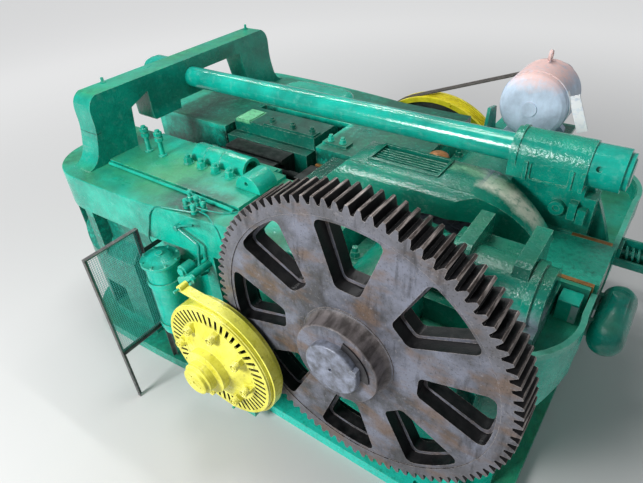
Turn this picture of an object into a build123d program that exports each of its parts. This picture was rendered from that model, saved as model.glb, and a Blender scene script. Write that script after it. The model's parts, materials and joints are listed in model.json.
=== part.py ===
from build123d import *
from math import acos, atan, atan2, cos, degrees, pi, radians, sin, sqrt
import os

os.makedirs("parts", exist_ok=True)

# The machine stands on z = 0. X runs from the stock throat (minus) to the crank end (plus).
# The bull gear is on the minus Y side. The origin is on the floor under the crank line.

# Levels and main lines
CRANK_Z = 1740
DECK_RISE = 338
DECK_Z = CRANK_Z + DECK_RISE
SLIDE_Y = -300
RUN_FIT = 0.05
SLIDE_FIT = 0.5
FACE_GAP = 0.3

# Bed casting
BED_HALF = 1540
BED_REAR = 1300
BED_REAR_HALF = BED_HALF - 690
BED_SHOULDER_X = 830
BED_STRAIGHT_X = -1400
BED_BULGE_X = -3450
BED_BULGE_HALF = BED_HALF + 165
BED_NOSE_X = -4010
BED_NOSE_HALF = BED_HALF - 390
BED_FRONT = -4090
LOW_REAR = BED_REAR - 270
FLANGE_REAR = BED_REAR - 100
BED_BAND = 390
BED_RECESS = 130
BED_FLANGE_T = 120
BED_FLANGE_OUT = 174
BED_EDGE_R = 12
CORE_WALL = 150
RIB_HALF = 90
BOLT_X = (-3100, 500)
BOLT_Y = BED_HALF + 90
BOLT_HOLE_R = 26
RIM_T = 40
RIM_RISE = 170
REAR_ZONE_X = -560
PAD_RISE = 35
PAD_HALF = BED_HALF - 240
PAD_REAR_X = -1500

# Hollows of the bed
DIE_FRONT_X = -2900
DIE_REAR_X = -1650
DIE_NEAR_Y = -520
DIE_FAR_Y = 700
DIE_FLOOR = -335
PIT_FLOOR = -900
THROAT_HALF = 260
THROAT_FLOOR = -300
CHANNEL_FLOOR = -410
PIT_HALF_X = 440
PIT_HALF_Y = 320
CRANK_PIT_FLOOR = -440
WALL_IN = BED_HALF - 240

# Crankshaft
THROW = 120
PIN_R = 190
JOURNAL_R = 220
GEAR_SEAT_R = 210
WEB_R = 285
WEB_SHIFT = 40
WEB_IN = 182
WEB_OUT = 298
BUSH_T = 40
BED_FACE = BED_HALF + 60
CAP_FOOT = 120
NEAR_CAP_Y = 40 - BED_HALF
FAR_CAP_Y = 45
FAR_CAP_END = BED_HALF - 460
FAR_BORE_END = FAR_CAP_END + 15

# Gears
MODULE = 25.4
GEAR_TEETH = 94
PINION_TEETH = 17
PRESSURE = 20
BACKLASH = 2.0
GEAR_NEAR_Y = -BED_HALF - 344
GEAR_FACE = 260
HUB_R = 333
HUB_FOOT_R = 368
HUB_RISE = 140
SHAFT_RISE = 200
WINDOW_COUNT = 8
WINDOW_IN_R = 556
WINDOW_OUT_R = 1062
WINDOW_IN_HALF = 9.5
WINDOW_OUT_HALF = 14.0
WINDOW_CORNER = 52
WINDOW_LEDGE = 22
WINDOW_TURN = 43
KEY_W = 70
KEY_TURN = 25

# Drive shaft, flywheel and brake
DRIVE_SLOPE = 29.2
DRIVE_R = 100
DRIVE_BUSH_T = 25
FLYWHEEL_R = 965
FLYWHEEL_NEAR_Y = BED_HALF + 426
FLYWHEEL_W = 234
FLYWHEEL_RIM = 62
FLYWHEEL_WEB = 50
SPOKES = 6
DRUM_R = 585
DRUM_W = 160
DRUM_GAP = 26
DISC_R = DRUM_R - 7
DISC_T = 18
SLOT_COUNT = 50
SLOT_OUT_R = DISC_R - 28
SLOT_IN_R = SLOT_OUT_R - 125
SLOT_HALF = 14
HUB_REACH = 210
LUG_COUNT = 8
BAND_T = 20
BAND_LEAVE = 87
BAND_TAIL = 382
BAND_END = -85
EYE_R = 28
EYE_PIN_R = 12
LEVER_X = 130
LEVER_Z = 90

# Header slide
HEADER_STROKE = 240
SLIDE_HALF = 300
SLIDE_FRONT_X = -1400
HOOD_TOP = 670
HOOD_SHOULDER = 170
ARM_CLEAR = 405
ROD_CENTRES = 900
ROD_HALF = 180
ROD_CAVITY_HALF = 215
BIG_END_R = 275
WRIST_R = 110
WRIST_EYE_R = 190
TAIL_HALF = 265
TAIL_TOP = 220
TAIL_FLOOR = -150
NECK_HALF = 140
GIB_W = 40
RAIL_NEAR_T = 39
RAIL_FAR_T = 19

# Grating in the hood
GRATE_X0 = -700
GRATE_X1 = -40
GRATE_HALF = 160
GRATE_DEEP = 70
GRATE_SLATS = 6

# Tools and dies
TOOL_X0 = SLIDE_FRONT_X - 200
PUNCH_R = 40
PUNCH_END_X = -1860
STATIONS = (150, 0, -150)
DIE_X0 = -2700
DIE_X1 = -1890
DIE_TOP = 250
DIE_DEEP = 220
DIE_GAP = 1
DIE_OPEN = 40
STOCK_R = 32
COUNTER_R = 50
CARRIER_TOP = 385
SLEEVE_R = 128
SLEEVE_BORE_R = 92

# Tie bar
BAR_RISE = 844
BAR_R = 112
BAR_HOLE_R = 112.5
ANCHOR_R = 180
ANCHOR_X0 = 400
ANCHOR_X1 = 968
NUT_R = 166
YOKE_X0 = -3620
YOKE_X1 = -3340

# Motor and belts
BELTS = 4
BELT_W = 24
BELT_T = 14
PULLEY_R = 150
MOTOR_X = 154
MOTOR_Z = CRANK_Z + 696
MOTOR_R = 335
MOTOR_NEAR_Y = BED_HALF - 410
MOTOR_SEAT = MOTOR_Z - MOTOR_R - 40

# Air cylinder and valve
CYL_X = -2190
CYL_Y = -BED_HALF - 220
CYL_R = 160
CYL_TOP = -180
CYL_FOOT = -1060
VALVE_X = -1870
VALVE_RISE = -172

# Guard screen
GUARD_X = -2430
GUARD_Y0 = -BED_HALF - 805
GUARD_Y1 = -BED_HALF - 235
GUARD_BAR = 40
MESH_PITCH = 22
WIRE = 3

# Spring and air tank behind the rear wall
SPRING_Y = 160
SPRING_Z = CRANK_Z + 70
SPRING_X0 = BED_REAR + 30
SPRING_X1 = 1700
SPRING_R = 46
SPRING_WIRE = 9
SPRING_TURNS = 8
TANK_X = BED_REAR + 140
TANK_Z = CRANK_Z - 90
TANK_R = 125
TANK_Y0 = -850
TANK_Y1 = -150

# Places worked out from the values above
GEAR_FAR_Y = GEAR_NEAR_Y + GEAR_FACE
CENTRES = MODULE * (GEAR_TEETH + PINION_TEETH) / 2
DRIVE_X = -CENTRES * cos(radians(DRIVE_SLOPE))
DRIVE_Z = CRANK_Z - CENTRES * sin(radians(DRIVE_SLOPE))
BAR_Z = CRANK_Z + BAR_RISE
BAND_Z = DECK_Z - BED_BAND
RAIL_NEAR_Y = SLIDE_Y - TAIL_HALF - SLIDE_FIT - GIB_W
RAIL_FAR_Y = SLIDE_Y + TAIL_HALF + SLIDE_FIT + GIB_W
CAP_NEAR_Y = RAIL_NEAR_Y - RAIL_NEAR_T - FACE_GAP
ANCHOR_Y = RAIL_FAR_Y + RAIL_FAR_T + FACE_GAP
DRUM_BACK_Y = GEAR_NEAR_Y - DRUM_GAP
DRUM_FRONT_Y = DRUM_BACK_Y - DRUM_W
DISC_Y = DRUM_FRONT_Y - DISC_T
HUB_Y = DISC_Y - HUB_REACH
BAND_IN_R = DRUM_R + 5
BAND_OUT_R = BAND_IN_R + BAND_T
PAD_Z = DECK_Z + PAD_RISE


def rel(height):
    return CRANK_Z + height


def outline(points):
    return make_face(Polyline(*points, close=True))


def rect(a0, a1, b0, b1):
    return Pos((a0 + a1) / 2, (b0 + b1) / 2) * Rectangle(a1 - a0, b1 - b0)


def disc(a, b, radius):
    return Pos(a, b) * Circle(radius)


def along_x(face, x0, x1):
    return extrude(Plane.YZ.offset(x0) * face, amount=x1 - x0)


def along_y(face, y0, y1):
    return extrude(Plane.XZ.offset(-y1) * face, amount=y1 - y0)


def along_z(face, z0, z1):
    return extrude(Pos(0, 0, z0) * face, amount=z1 - z0)


def block(x0, x1, y0, y1, z0, z1):
    return along_z(rect(x0, x1, y0, y1), z0, z1)


def turned_y(profile, x, z):
    """A body turned about a line along Y through x, z. The profile is (radius, y) pairs."""
    face = Plane.XY * outline(profile)
    return Pos(x, 0, z) * revolve(face, Axis.Y)


def turned_z(profile, x, y):
    """A body turned about an upright line through x, y. The profile is (radius, z) pairs."""
    face = Plane.XZ * outline(profile)
    return Pos(x, y, 0) * revolve(face, Axis.Z)


def turned_x(profile, y, z):
    """A body turned about a line along X through y, z. The profile is (x, radius) pairs."""
    face = Plane.XY * outline(profile)
    return Pos(0, y, z) * revolve(face, Axis.X)


def polar(radius, turn):
    return (radius * cos(radians(turn)), radius * sin(radians(turn)))


def group(solids):
    return Compound(children=list(solids))


# Bed casting


def bed_outline():
    near = [
        ThreePointArc((BED_REAR, -BED_REAR_HALF), (1175, 205 - BED_HALF), (BED_SHOULDER_X, -BED_HALF)),
        Line((BED_SHOULDER_X, -BED_HALF), (BED_STRAIGHT_X, -BED_HALF)),
        ThreePointArc((BED_STRAIGHT_X, -BED_HALF), (-2500, -BED_HALF - 128), (BED_BULGE_X, -BED_BULGE_HALF)),
        ThreePointArc((BED_BULGE_X, -BED_BULGE_HALF), (-3845, -BED_HALF - 5), (BED_NOSE_X, -BED_NOSE_HALF)),
    ]
    nose = [ThreePointArc((BED_NOSE_X, -BED_NOSE_HALF), (BED_FRONT, 0), (BED_NOSE_X, BED_NOSE_HALF))]
    far = [mirror(edge, about=Plane.XZ) for edge in near]
    rear = [Line((BED_REAR, BED_REAR_HALF), (BED_REAR, -BED_REAR_HALF))]
    return make_face(near + nose + far + rear)


def wall_outline():
    """The recessed side wall in plan, with the seating gap for what is fixed against it."""
    return offset(bed_outline(), amount=FACE_GAP - BED_RECESS)


def bed_frame():
    plan = bed_outline()
    wall_plan = offset(plan, amount=-BED_RECESS)
    tall = along_z(plan, 0, DECK_Z)
    flange = along_z(offset(plan, amount=BED_FLANGE_OUT), 0, BED_FLANGE_T)
    band = along_z(plan, BAND_Z, DECK_Z)
    band = fillet(band.faces().sort_by(Axis.Z)[-1].edges(), BED_EDGE_R)
    body = flange + along_z(wall_plan, 0, BAND_Z + 1) + band

    # Upright ribs that stand flush with the band
    wide = 2 * BED_BULGE_HALF
    for x0, x1 in ((-4200, -3790), (-3420, -3300), (-1760, -1640), (-950, -820), (700, 830)):
        body += tall & block(x0, x1, -wide, wide, 0, DECK_Z - BED_EDGE_R)

    # Lower side panels in front, level with the band, each with a window into the front core
    for side in (-1, 1):
        ledge = outline([(side * wide, 0), (side * wide, BED_FLANGE_T), (side * (BED_BULGE_HALF + 100), 990),
                         (side * (BED_BULGE_HALF - 300), 1545), (side * (BED_BULGE_HALF - 300), 0)])
        body += tall & along_x(ledge, -3800, -2850)
        window = fillet(rect(-3550, -3190, 280, 690).vertices(), 30)
        body -= along_y(window, min(side * (BED_HALF - 300), side * wide), max(side * (BED_HALF - 300), side * wide))

    # The rear end overhangs a shorter base
    body += tall & block(LOW_REAR, BED_REAR, -wide, wide, rel(-700), CRANK_Z)
    taper = [(LOW_REAR, BED_FLANGE_T), (LOW_REAR, rel(-640)), (BED_REAR, rel(-200)), (2000, rel(-200)),
             (2000, BED_FLANGE_T)]
    body -= along_y(outline(taper), -wide, wide)
    body -= block(FLANGE_REAR, 2000, -wide, wide, -1, BED_FLANGE_T + 1)

    # Raised machined pads on the deck
    for y0, y1 in ((-PAD_HALF, DIE_NEAR_Y - 60), (DIE_FAR_Y + 60, PAD_HALF)):
        body += block(YOKE_X1, PAD_REAR_X, y0, y1, DECK_Z - 5, PAD_Z)

    body += block(-1630, -1330, DIE_OPEN + 100, DIE_OPEN + 230, DECK_Z - 5, DECK_Z + 30)

    # The crank end is lower: caps sit on the parting face at crank height
    body -= block(REAR_ZONE_X, 2000, -wide, wide, CRANK_Z, DECK_Z + 50)
    rim = along_z(plan, CRANK_Z - 5, rel(RIM_RISE)) - along_z(offset(plan, amount=-RIM_T), 0, DECK_Z)
    body += rim & block(600, 2000, -wide, wide, 0, DECK_Z)
    body += block(660, 1250, RAIL_NEAR_Y - RAIL_NEAR_T, RAIL_NEAR_Y, CRANK_Z - 5, rel(TAIL_TOP - 5))
    body += block(660, 1250, RAIL_FAR_Y, RAIL_FAR_Y + RAIL_FAR_T, CRANK_Z - 5, rel(TAIL_TOP - 5))

    # Bearing bosses on the two side walls
    body += along_y(disc(0, CRANK_Z, 430), -BED_FACE, -WALL_IN) & block(-600, 600, -wide, wide, 0, CRANK_Z)
    for y0, y1 in ((-BED_HALF, -WALL_IN), (WALL_IN, BED_HALF)):
        body += along_y(disc(DRIVE_X, DRIVE_Z, 270), y0, y1)

    # Die space, stock throat, slide channel, crank pit and tail channel
    top = DECK_Z + 100
    body -= block(DIE_FRONT_X, DIE_REAR_X, DIE_NEAR_Y, DIE_FAR_Y, rel(DIE_FLOOR), top)
    body -= block(DIE_FRONT_X + 150, DIE_REAR_X - 150, DIE_NEAR_Y + 60, -100, rel(PIT_FLOOR), top)
    throat = rect(SLIDE_Y - THROAT_HALF, SLIDE_Y + THROAT_HALF, rel(THROAT_FLOOR), top)
    throat = fillet(throat.vertices().sort_by(Axis.Y)[:2], 120)
    body -= along_x(throat, BED_FRONT - 300, DIE_FRONT_X + 1)
    channel_near = SLIDE_Y - SLIDE_HALF - GIB_W - SLIDE_FIT
    channel_far = SLIDE_Y + SLIDE_HALF + GIB_W + SLIDE_FIT
    body -= block(DIE_REAR_X - 1, 200, channel_near, channel_far, rel(CHANNEL_FLOOR), top)
    pit = rect(-PIT_HALF_X, PIT_HALF_X, rel(CRANK_PIT_FLOOR), top)
    pit = fillet(pit.vertices().sort_by(Axis.Y)[:2], 150)
    body -= along_y(pit, SLIDE_Y - PIT_HALF_Y, SLIDE_Y + PIT_HALF_Y)
    tail_cut = rect(RAIL_NEAR_Y, RAIL_FAR_Y, rel(TAIL_FLOOR) - SLIDE_FIT, top)
    body -= along_x(tail_cut, 200, BED_REAR + 100)

    # Bores across the bed
    bore = disc(0, CRANK_Z, JOURNAL_R + BUSH_T)
    body -= along_y(bore, -BED_FACE - 50, FAR_BORE_END)
    body -= along_y(disc(DRIVE_X, DRIVE_Z, DRIVE_R + DRIVE_BUSH_T), -BED_HALF - 300, BED_HALF + 300)

    # Cores, open below
    front_core = rect(BED_NOSE_X + 330, DRIVE_X - 230, -BED_HALF + 280, BED_HALF - 280)
    body -= along_z(fillet(front_core.vertices(), 80), -1, rel(PIT_FLOOR) - 110)
    for x0, x1 in ((DRIVE_X + 230, -RIB_HALF), (RIB_HALF, LOW_REAR - CORE_WALL)):
        rear_core = rect(x0, x1, -BED_HALF + 460, BED_HALF - 460)
        body -= along_z(fillet(rear_core.vertices(), 80), -1, rel(CRANK_PIT_FLOOR) - 120)
    for y0, y1 in ((380 - BED_HALF, channel_near - 60), (DIE_FAR_Y + 150, BED_HALF - 280)):
        side_core = rect(-3250, DRIVE_X - 260, y0, y1)
        body -= along_z(fillet(side_core.vertices(), 60), -1, DECK_Z - 130)

    # Foundation bolt holes
    for x in BOLT_X:
        for y in (-BOLT_Y, BOLT_Y):
            body -= along_z(disc(x, y, BOLT_HOLE_R), -1, BED_FLANGE_T + 1)
    return body


# Yoke, tie bar and its rear anchor


def arch_yoke():
    foot = DECK_Z
    half = BED_HALF
    leg_out = [(-half - 25, foot), (115 - half, rel(430)), (162 - half, rel(560)), (195 - half, rel(770)),
               (210 - half, rel(960)), (300 - half, rel(1046))]
    edges = [
        Spline(*leg_out),
        Line(leg_out[-1], (half - 300, rel(1060))),
        Spline(*[(-y, z + 14 * (n == 5)) for n, (y, z) in reversed(list(enumerate(leg_out)))]),
        Line((half + 25, foot), (-half - 25, foot)),
    ]
    plate = make_face(edges)
    opening = outline([(610 - half, foot - 10), (half - 610, foot - 10), (half - 740, rel(885)), (-640, rel(885)),
                       (660 - half, rel(790))])
    lug = outline([(-645, rel(900)), (-635, rel(580)), (-615, rel(556)), (-250, rel(556)), (-240, rel(650)),
                   (170, rel(650)), (190, rel(900))])
    plate = plate - opening + lug
    body = along_x(plate, YOKE_X0, YOKE_X1)
    body -= along_x(disc(0, BAR_Z, BAR_HOLE_R), YOKE_X0 - 10, YOKE_X1 + 10)
    return body


def tie_bar():
    return turned_x([(-4080, 0), (-4080, BAR_R - 12), (-4068, BAR_R), (1228, BAR_R), (1240, BAR_R - 12), (1240, 0)],
                    0, BAR_Z)


def bar_nut(x0, x1, end_x):
    """A round nut from x0 to x1 with a smaller step out to end_x and a spanner hole."""
    step = NUT_R - 25
    profile = [(x0, BAR_R + FACE_GAP), (x0, NUT_R), (x1, NUT_R), (x1, step), (end_x, step),
               (end_x, BAR_R + FACE_GAP)]
    nut = turned_x(profile, 0, BAR_Z)
    hole = Pos(x0 + 0.3 * (x1 - x0), 0, BAR_Z) * Rot(73, 0, 0) * Pos(0, 0, NUT_R) * Cylinder(22, 80)
    return nut - hole


def bar_anchor():
    """The barrel that holds the bar, on a flared pedestal behind the header slide."""
    face_y = ANCHOR_Y
    barrel = disc(0, BAR_Z, ANCHOR_R)
    shoulder = rect(-ANCHOR_R, ANCHOR_R, rel(690), BAR_Z)
    flare = [
        Line((face_y, rel(700)), (face_y, CRANK_Z)),
        Line((face_y, CRANK_Z), (640, CRANK_Z)),
        Line((640, CRANK_Z), (640, rel(90))),
        ThreePointArc((640, rel(90)), (330, rel(330)), (ANCHOR_R, rel(700))),
        Line((ANCHOR_R, rel(700)), (face_y, rel(700))),
    ]
    pedestal = make_face(flare)
    body = along_x(barrel + shoulder + pedestal, ANCHOR_X0, ANCHOR_X1)
    window = fillet(rect(ANCHOR_X0 + 178, ANCHOR_X1 - 112, rel(702), rel(836)).vertices(), 16)
    body -= along_y(window, -ANCHOR_R - 5, -ANCHOR_R + 14)
    body += along_x(disc(0, BAR_Z, ANCHOR_R + 12), ANCHOR_X0 + 30, ANCHOR_X0 + 62)
    for x0 in (ANCHOR_X0 + 128, ANCHOR_X1 - 108, ANCHOR_X1 - 28):
        body += block(x0, x0 + 28, -ANCHOR_R - 16, 0, rel(690), BAR_Z)
    body += along_x(pedestal & rect(-100, 900, CRANK_Z, rel(540)), ANCHOR_X1 - 1, 1060)
    body += along_y(disc(795, rel(412), 62), -25, face_y + 1)
    body -= along_y(disc(795, rel(412), 26), -26, -10)
    for x0, z0, z1 in ((885, 350, 500), (955, 330, 460)):
        body += block(x0, x0 + 62, -40, face_y + 1, rel(z0), rel(z1))
    fin = [
        Line((ANCHOR_X1 - 1, rel(660)), (ANCHOR_X1 - 1, CRANK_Z)),
        Line((ANCHOR_X1 - 1, CRANK_Z), (1230, CRANK_Z)),
        Line((1230, CRANK_Z), (1230, rel(60))),
        ThreePointArc((1230, rel(60)), (1130, rel(330)), (ANCHOR_X1 - 1, rel(660))),
    ]
    body += along_y(make_face(fin), 150, 210)
    body -= along_x(disc(0, BAR_Z, BAR_HOLE_R), ANCHOR_X0 - 10, ANCHOR_X1 + 10)
    return body


# Crankshaft, its bearings and the bull gear


def crankshaft():
    web = disc(WEB_SHIFT, CRANK_Z, WEB_R)
    near_in = SLIDE_Y - WEB_IN
    near_out = SLIDE_Y - WEB_OUT
    far_in = SLIDE_Y + WEB_IN
    far_out = SLIDE_Y + WEB_OUT
    shaft = along_y(web, near_out, near_in) + along_y(web, far_in, far_out)
    shaft += along_y(disc(THROW, CRANK_Z, PIN_R), near_in - 1, far_in + 1)
    shaft += along_y(disc(0, CRANK_Z, JOURNAL_R), -BED_FACE, near_out + 1)
    shaft += along_y(disc(0, CRANK_Z, JOURNAL_R), far_out - 1, FAR_CAP_END)
    seat = along_y(disc(0, CRANK_Z, GEAR_SEAT_R), GEAR_NEAR_Y - SHAFT_RISE, -BED_FACE + 1)
    seat = chamfer(seat.faces().sort_by(Axis.Y)[0].edges(), 8)
    shaft += seat
    shaft -= key_block(0)
    centre = GEAR_NEAR_Y - SHAFT_RISE
    return shaft - along_y(disc(0, CRANK_Z, 14), centre - 1, centre + 40)


def key_block(ease):
    """The gear's key. Its near end stands level with the hub face."""
    half = KEY_W / 2 - ease
    box = block(GEAR_SEAT_R - 32 + ease, GEAR_SEAT_R + 34 - ease, GEAR_NEAR_Y - HUB_RISE, GEAR_FAR_Y, -half, half)
    return Pos(0, 0, CRANK_Z) * Rot(0, -KEY_TURN, 0) * box


def involute(radius, base):
    grow = sqrt(max((radius / base) ** 2 - 1, 0))
    return grow - atan(grow)


def gear_face(teeth, steps, turn):
    """The outline of a spur gear: involute flanks in straight steps, thinned for backlash."""
    pitch = MODULE * teeth / 2
    base = pitch * cos(radians(PRESSURE))
    tip = pitch + MODULE
    root = pitch - 1.25 * MODULE
    start = max(base, root)
    half_pitch = pi / (2 * teeth) - BACKLASH / (4 * pitch) + involute(pitch, base)
    flank = [(root, half_pitch - involute(start, base))] if root < base else []
    for n in range(steps + 1):
        radius = start + (tip - start) * n / steps
        flank.append((radius, half_pitch - involute(radius, base)))
    points = []
    for tooth in range(teeth):
        middle = radians(turn) + 2 * pi * tooth / teeth
        for radius, half in flank:
            points.append((radius * cos(middle - half), radius * sin(middle - half)))
        for radius, half in reversed(flank):
            points.append((radius * cos(middle + half), radius * sin(middle + half)))
    return outline(points)


def window_face(shrink):
    """One lightening window of the bull gear, drawn about the gear's centre along local X."""
    inner = WINDOW_IN_R + shrink
    outer = WINDOW_OUT_R - shrink
    ease = degrees(shrink / 800)
    in_half = WINDOW_IN_HALF - ease
    out_half = WINDOW_OUT_HALF - ease
    edges = [
        Line(polar(inner, -in_half), polar(outer, -out_half)),
        ThreePointArc(polar(outer, -out_half), polar(outer, 0), polar(outer, out_half)),
        Line(polar(outer, out_half), polar(inner, in_half)),
        Line(polar(inner, in_half), polar(inner, -in_half)),
    ]
    face = make_face(edges)
    return fillet(face.vertices(), WINDOW_CORNER - shrink / 2)


def bull_gear():
    teeth = gear_face(GEAR_TEETH, 2, 0)
    body = extrude(teeth, amount=GEAR_FACE)
    hub = outline([(150, GEAR_FACE - 2), (HUB_FOOT_R, GEAR_FACE - 8), (HUB_R + 8, GEAR_FACE + 24),
                   (HUB_R, GEAR_FACE + 50), (HUB_R, GEAR_FACE + HUB_RISE - 6), (HUB_R - 6, GEAR_FACE + HUB_RISE),
                   (150, GEAR_FACE + HUB_RISE)])
    body += revolve(Plane.XZ * hub, Axis.Z)
    ring = extrude(Circle(1088) - Circle(HUB_FOOT_R + 4), amount=8)
    body -= Pos(0, 0, GEAR_FACE - 8) * ring
    body -= extrude(Circle(1070) - Circle(HUB_FOOT_R), amount=50)
    for n in range(WINDOW_COUNT):
        spin = Rot(0, 0, WINDOW_TURN + n * 360 / WINDOW_COUNT)
        body -= spin * extrude(window_face(WINDOW_LEDGE), amount=GEAR_FACE + 1)
        body -= spin * Pos(0, 0, GEAR_FACE - 110) * extrude(window_face(0), amount=120)
    body -= extrude(Circle(GEAR_SEAT_R), amount=GEAR_FACE + HUB_RISE + 10)
    # local Z becomes the near side, minus Y
    body = Pos(0, GEAR_FAR_Y, CRANK_Z) * Rot(90, 0, 0) * body
    return body - key_block(0)


def key_keeper():
    """A plate across the key's end, screwed to the hub face, curved to the shaft."""
    ring = disc(0, 0, GEAR_SEAT_R + 62) - disc(0, 0, GEAR_SEAT_R + 2)
    ring = ring & outline([(0, 0), (400, -30), (400, 320), (120, 400)])
    plate = along_y(ring, GEAR_NEAR_Y - HUB_RISE - 14, GEAR_NEAR_Y - HUB_RISE)
    return Pos(0, 0, CRANK_Z) * plate


def crank_bush(y0, y1):
    ring = disc(0, CRANK_Z, JOURNAL_R + BUSH_T) - disc(0, CRANK_Z, JOURNAL_R + RUN_FIT)
    return along_y(ring, y0, y1)


def crank_cap(y0, y1):
    """Bearing cap: a half ring over the bush on a broad foot along the parting face."""
    arch = [
        Line((-500, CRANK_Z), (-500, rel(CAP_FOOT))),
        Line((-500, rel(CAP_FOOT)), (-385, rel(CAP_FOOT))),
        ThreePointArc((-385, rel(CAP_FOOT)), (-270, rel(270)), (0, rel(370))),
        ThreePointArc((0, rel(370)), (200, rel(300)), (290, rel(130))),
        Line((290, rel(130)), (290, CRANK_Z)),
        Line((290, CRANK_Z), (-500, CRANK_Z)),
    ]
    body = along_y(make_face(arch), y0, y1)
    return body - along_y(disc(0, CRANK_Z, JOURNAL_R + BUSH_T), y0 - 10, y1 + 10)


def near_cap():
    """The near cap also carries the barrel that lies along X, its end ring and two cross ribs."""
    y0 = NEAR_CAP_Y
    y1 = CAP_NEAR_Y
    body = crank_cap(y0, y1)
    barrel_y = -1000
    barrel_z = rel(310)
    body += block(289, 1060, y0 + 200, y1, CRANK_Z, rel(200))
    barrel = along_x(disc(barrel_y, barrel_z, 225), 250, 1060)
    barrel += along_x(disc(barrel_y, barrel_z, 250), 930, 985)
    barrel -= along_x(disc(barrel_y, barrel_z, 150), 1030, 1080)
    body += barrel & block(200, 1100, -1300, -700, CRANK_Z, rel(700))
    body += block(289, 820, -1000, y1, rel(200), rel(430))
    rib = outline([(-1140, rel(440)), (-1100, rel(575)), (-1060, rel(597)), (y1, rel(620)), (y1, rel(300)),
                   (-1000, rel(300))])
    for x0, reach in ((405, 105), (808, 112)):
        body += along_x(rib, x0, x0 + reach)
    return body - along_y(disc(0, CRANK_Z, JOURNAL_R + BUSH_T), y0 - 10, y1 + 10)


def hex_stud(x, y, z0, shank_r, height, nut_r, nut_h):
    """A stud with a washer and a hexagon nut, standing on z0."""
    body = along_z(disc(x, y, nut_r * 1.2), z0, z0 + 8)
    body += along_z(Pos(x, y) * RegularPolygon(nut_r, 6), z0 + 8, z0 + 8 + nut_h)
    return body + along_z(disc(x, y, shank_r), z0 + 8, z0 + height)


def cap_nuts():
    places = []
    for y0, y1 in ((NEAR_CAP_Y, CAP_NEAR_Y), (FAR_CAP_Y, FAR_CAP_END)):
        places += [y0 + 90, (y0 + y1) / 2, y1 - 100]
    return group([hex_stud(-445, y, rel(CAP_FOOT), 24, 96, 42, 44) for y in places])


# Pitman and header slide


def rod_shape(y0, y1):
    """The connecting rod from the crank pin back to the wrist pin, in side view."""
    small_x = THROW - ROD_CENTRES
    flat = 175
    shank = outline([(small_x, rel(-WRIST_EYE_R + 40)), (THROW, rel(-flat)), (THROW, rel(flat)),
                     (small_x, rel(WRIST_EYE_R - 40))])
    shape = shank + disc(small_x, CRANK_Z, WRIST_EYE_R) + disc(THROW, CRANK_Z, BIG_END_R)
    return along_y(shape, y0, y1)


def pitman():
    y0 = SLIDE_Y - ROD_HALF
    y1 = SLIDE_Y + ROD_HALF
    small_x = THROW - ROD_CENTRES
    body = rod_shape(y0, y1)
    panel = outline([(small_x + 230, rel(-90)), (THROW - 330, rel(-110)), (THROW - 330, rel(110)),
                     (small_x + 230, rel(90))])
    panel = fillet(panel.vertices(), 30)
    body -= along_y(panel, y0 - 1, y0 + 60)
    body -= along_y(panel, y1 - 60, y1 + 1)
    body -= along_y(disc(THROW, CRANK_Z, PIN_R + RUN_FIT), y0 - 1, y1 + 1)
    body -= along_y(disc(small_x, CRANK_Z, WRIST_R), y0 - 1, y1 + 1)
    return body - block(THROW, THROW + 400, y0 - 1, y1 + 1, rel(-400), rel(400))


def pitman_cap():
    y0 = SLIDE_Y - ROD_HALF
    y1 = SLIDE_Y + ROD_HALF
    ring = disc(THROW, CRANK_Z, BIG_END_R) - disc(THROW, CRANK_Z, PIN_R + RUN_FIT)
    ring = ring & rect(THROW, THROW + 400, rel(-400), rel(400))
    return along_y(ring, y0, y1)


def wrist_pin():
    return along_y(disc(THROW - ROD_CENTRES, CRANK_Z, WRIST_R), SLIDE_Y - 200, SLIDE_Y + 200)


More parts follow.
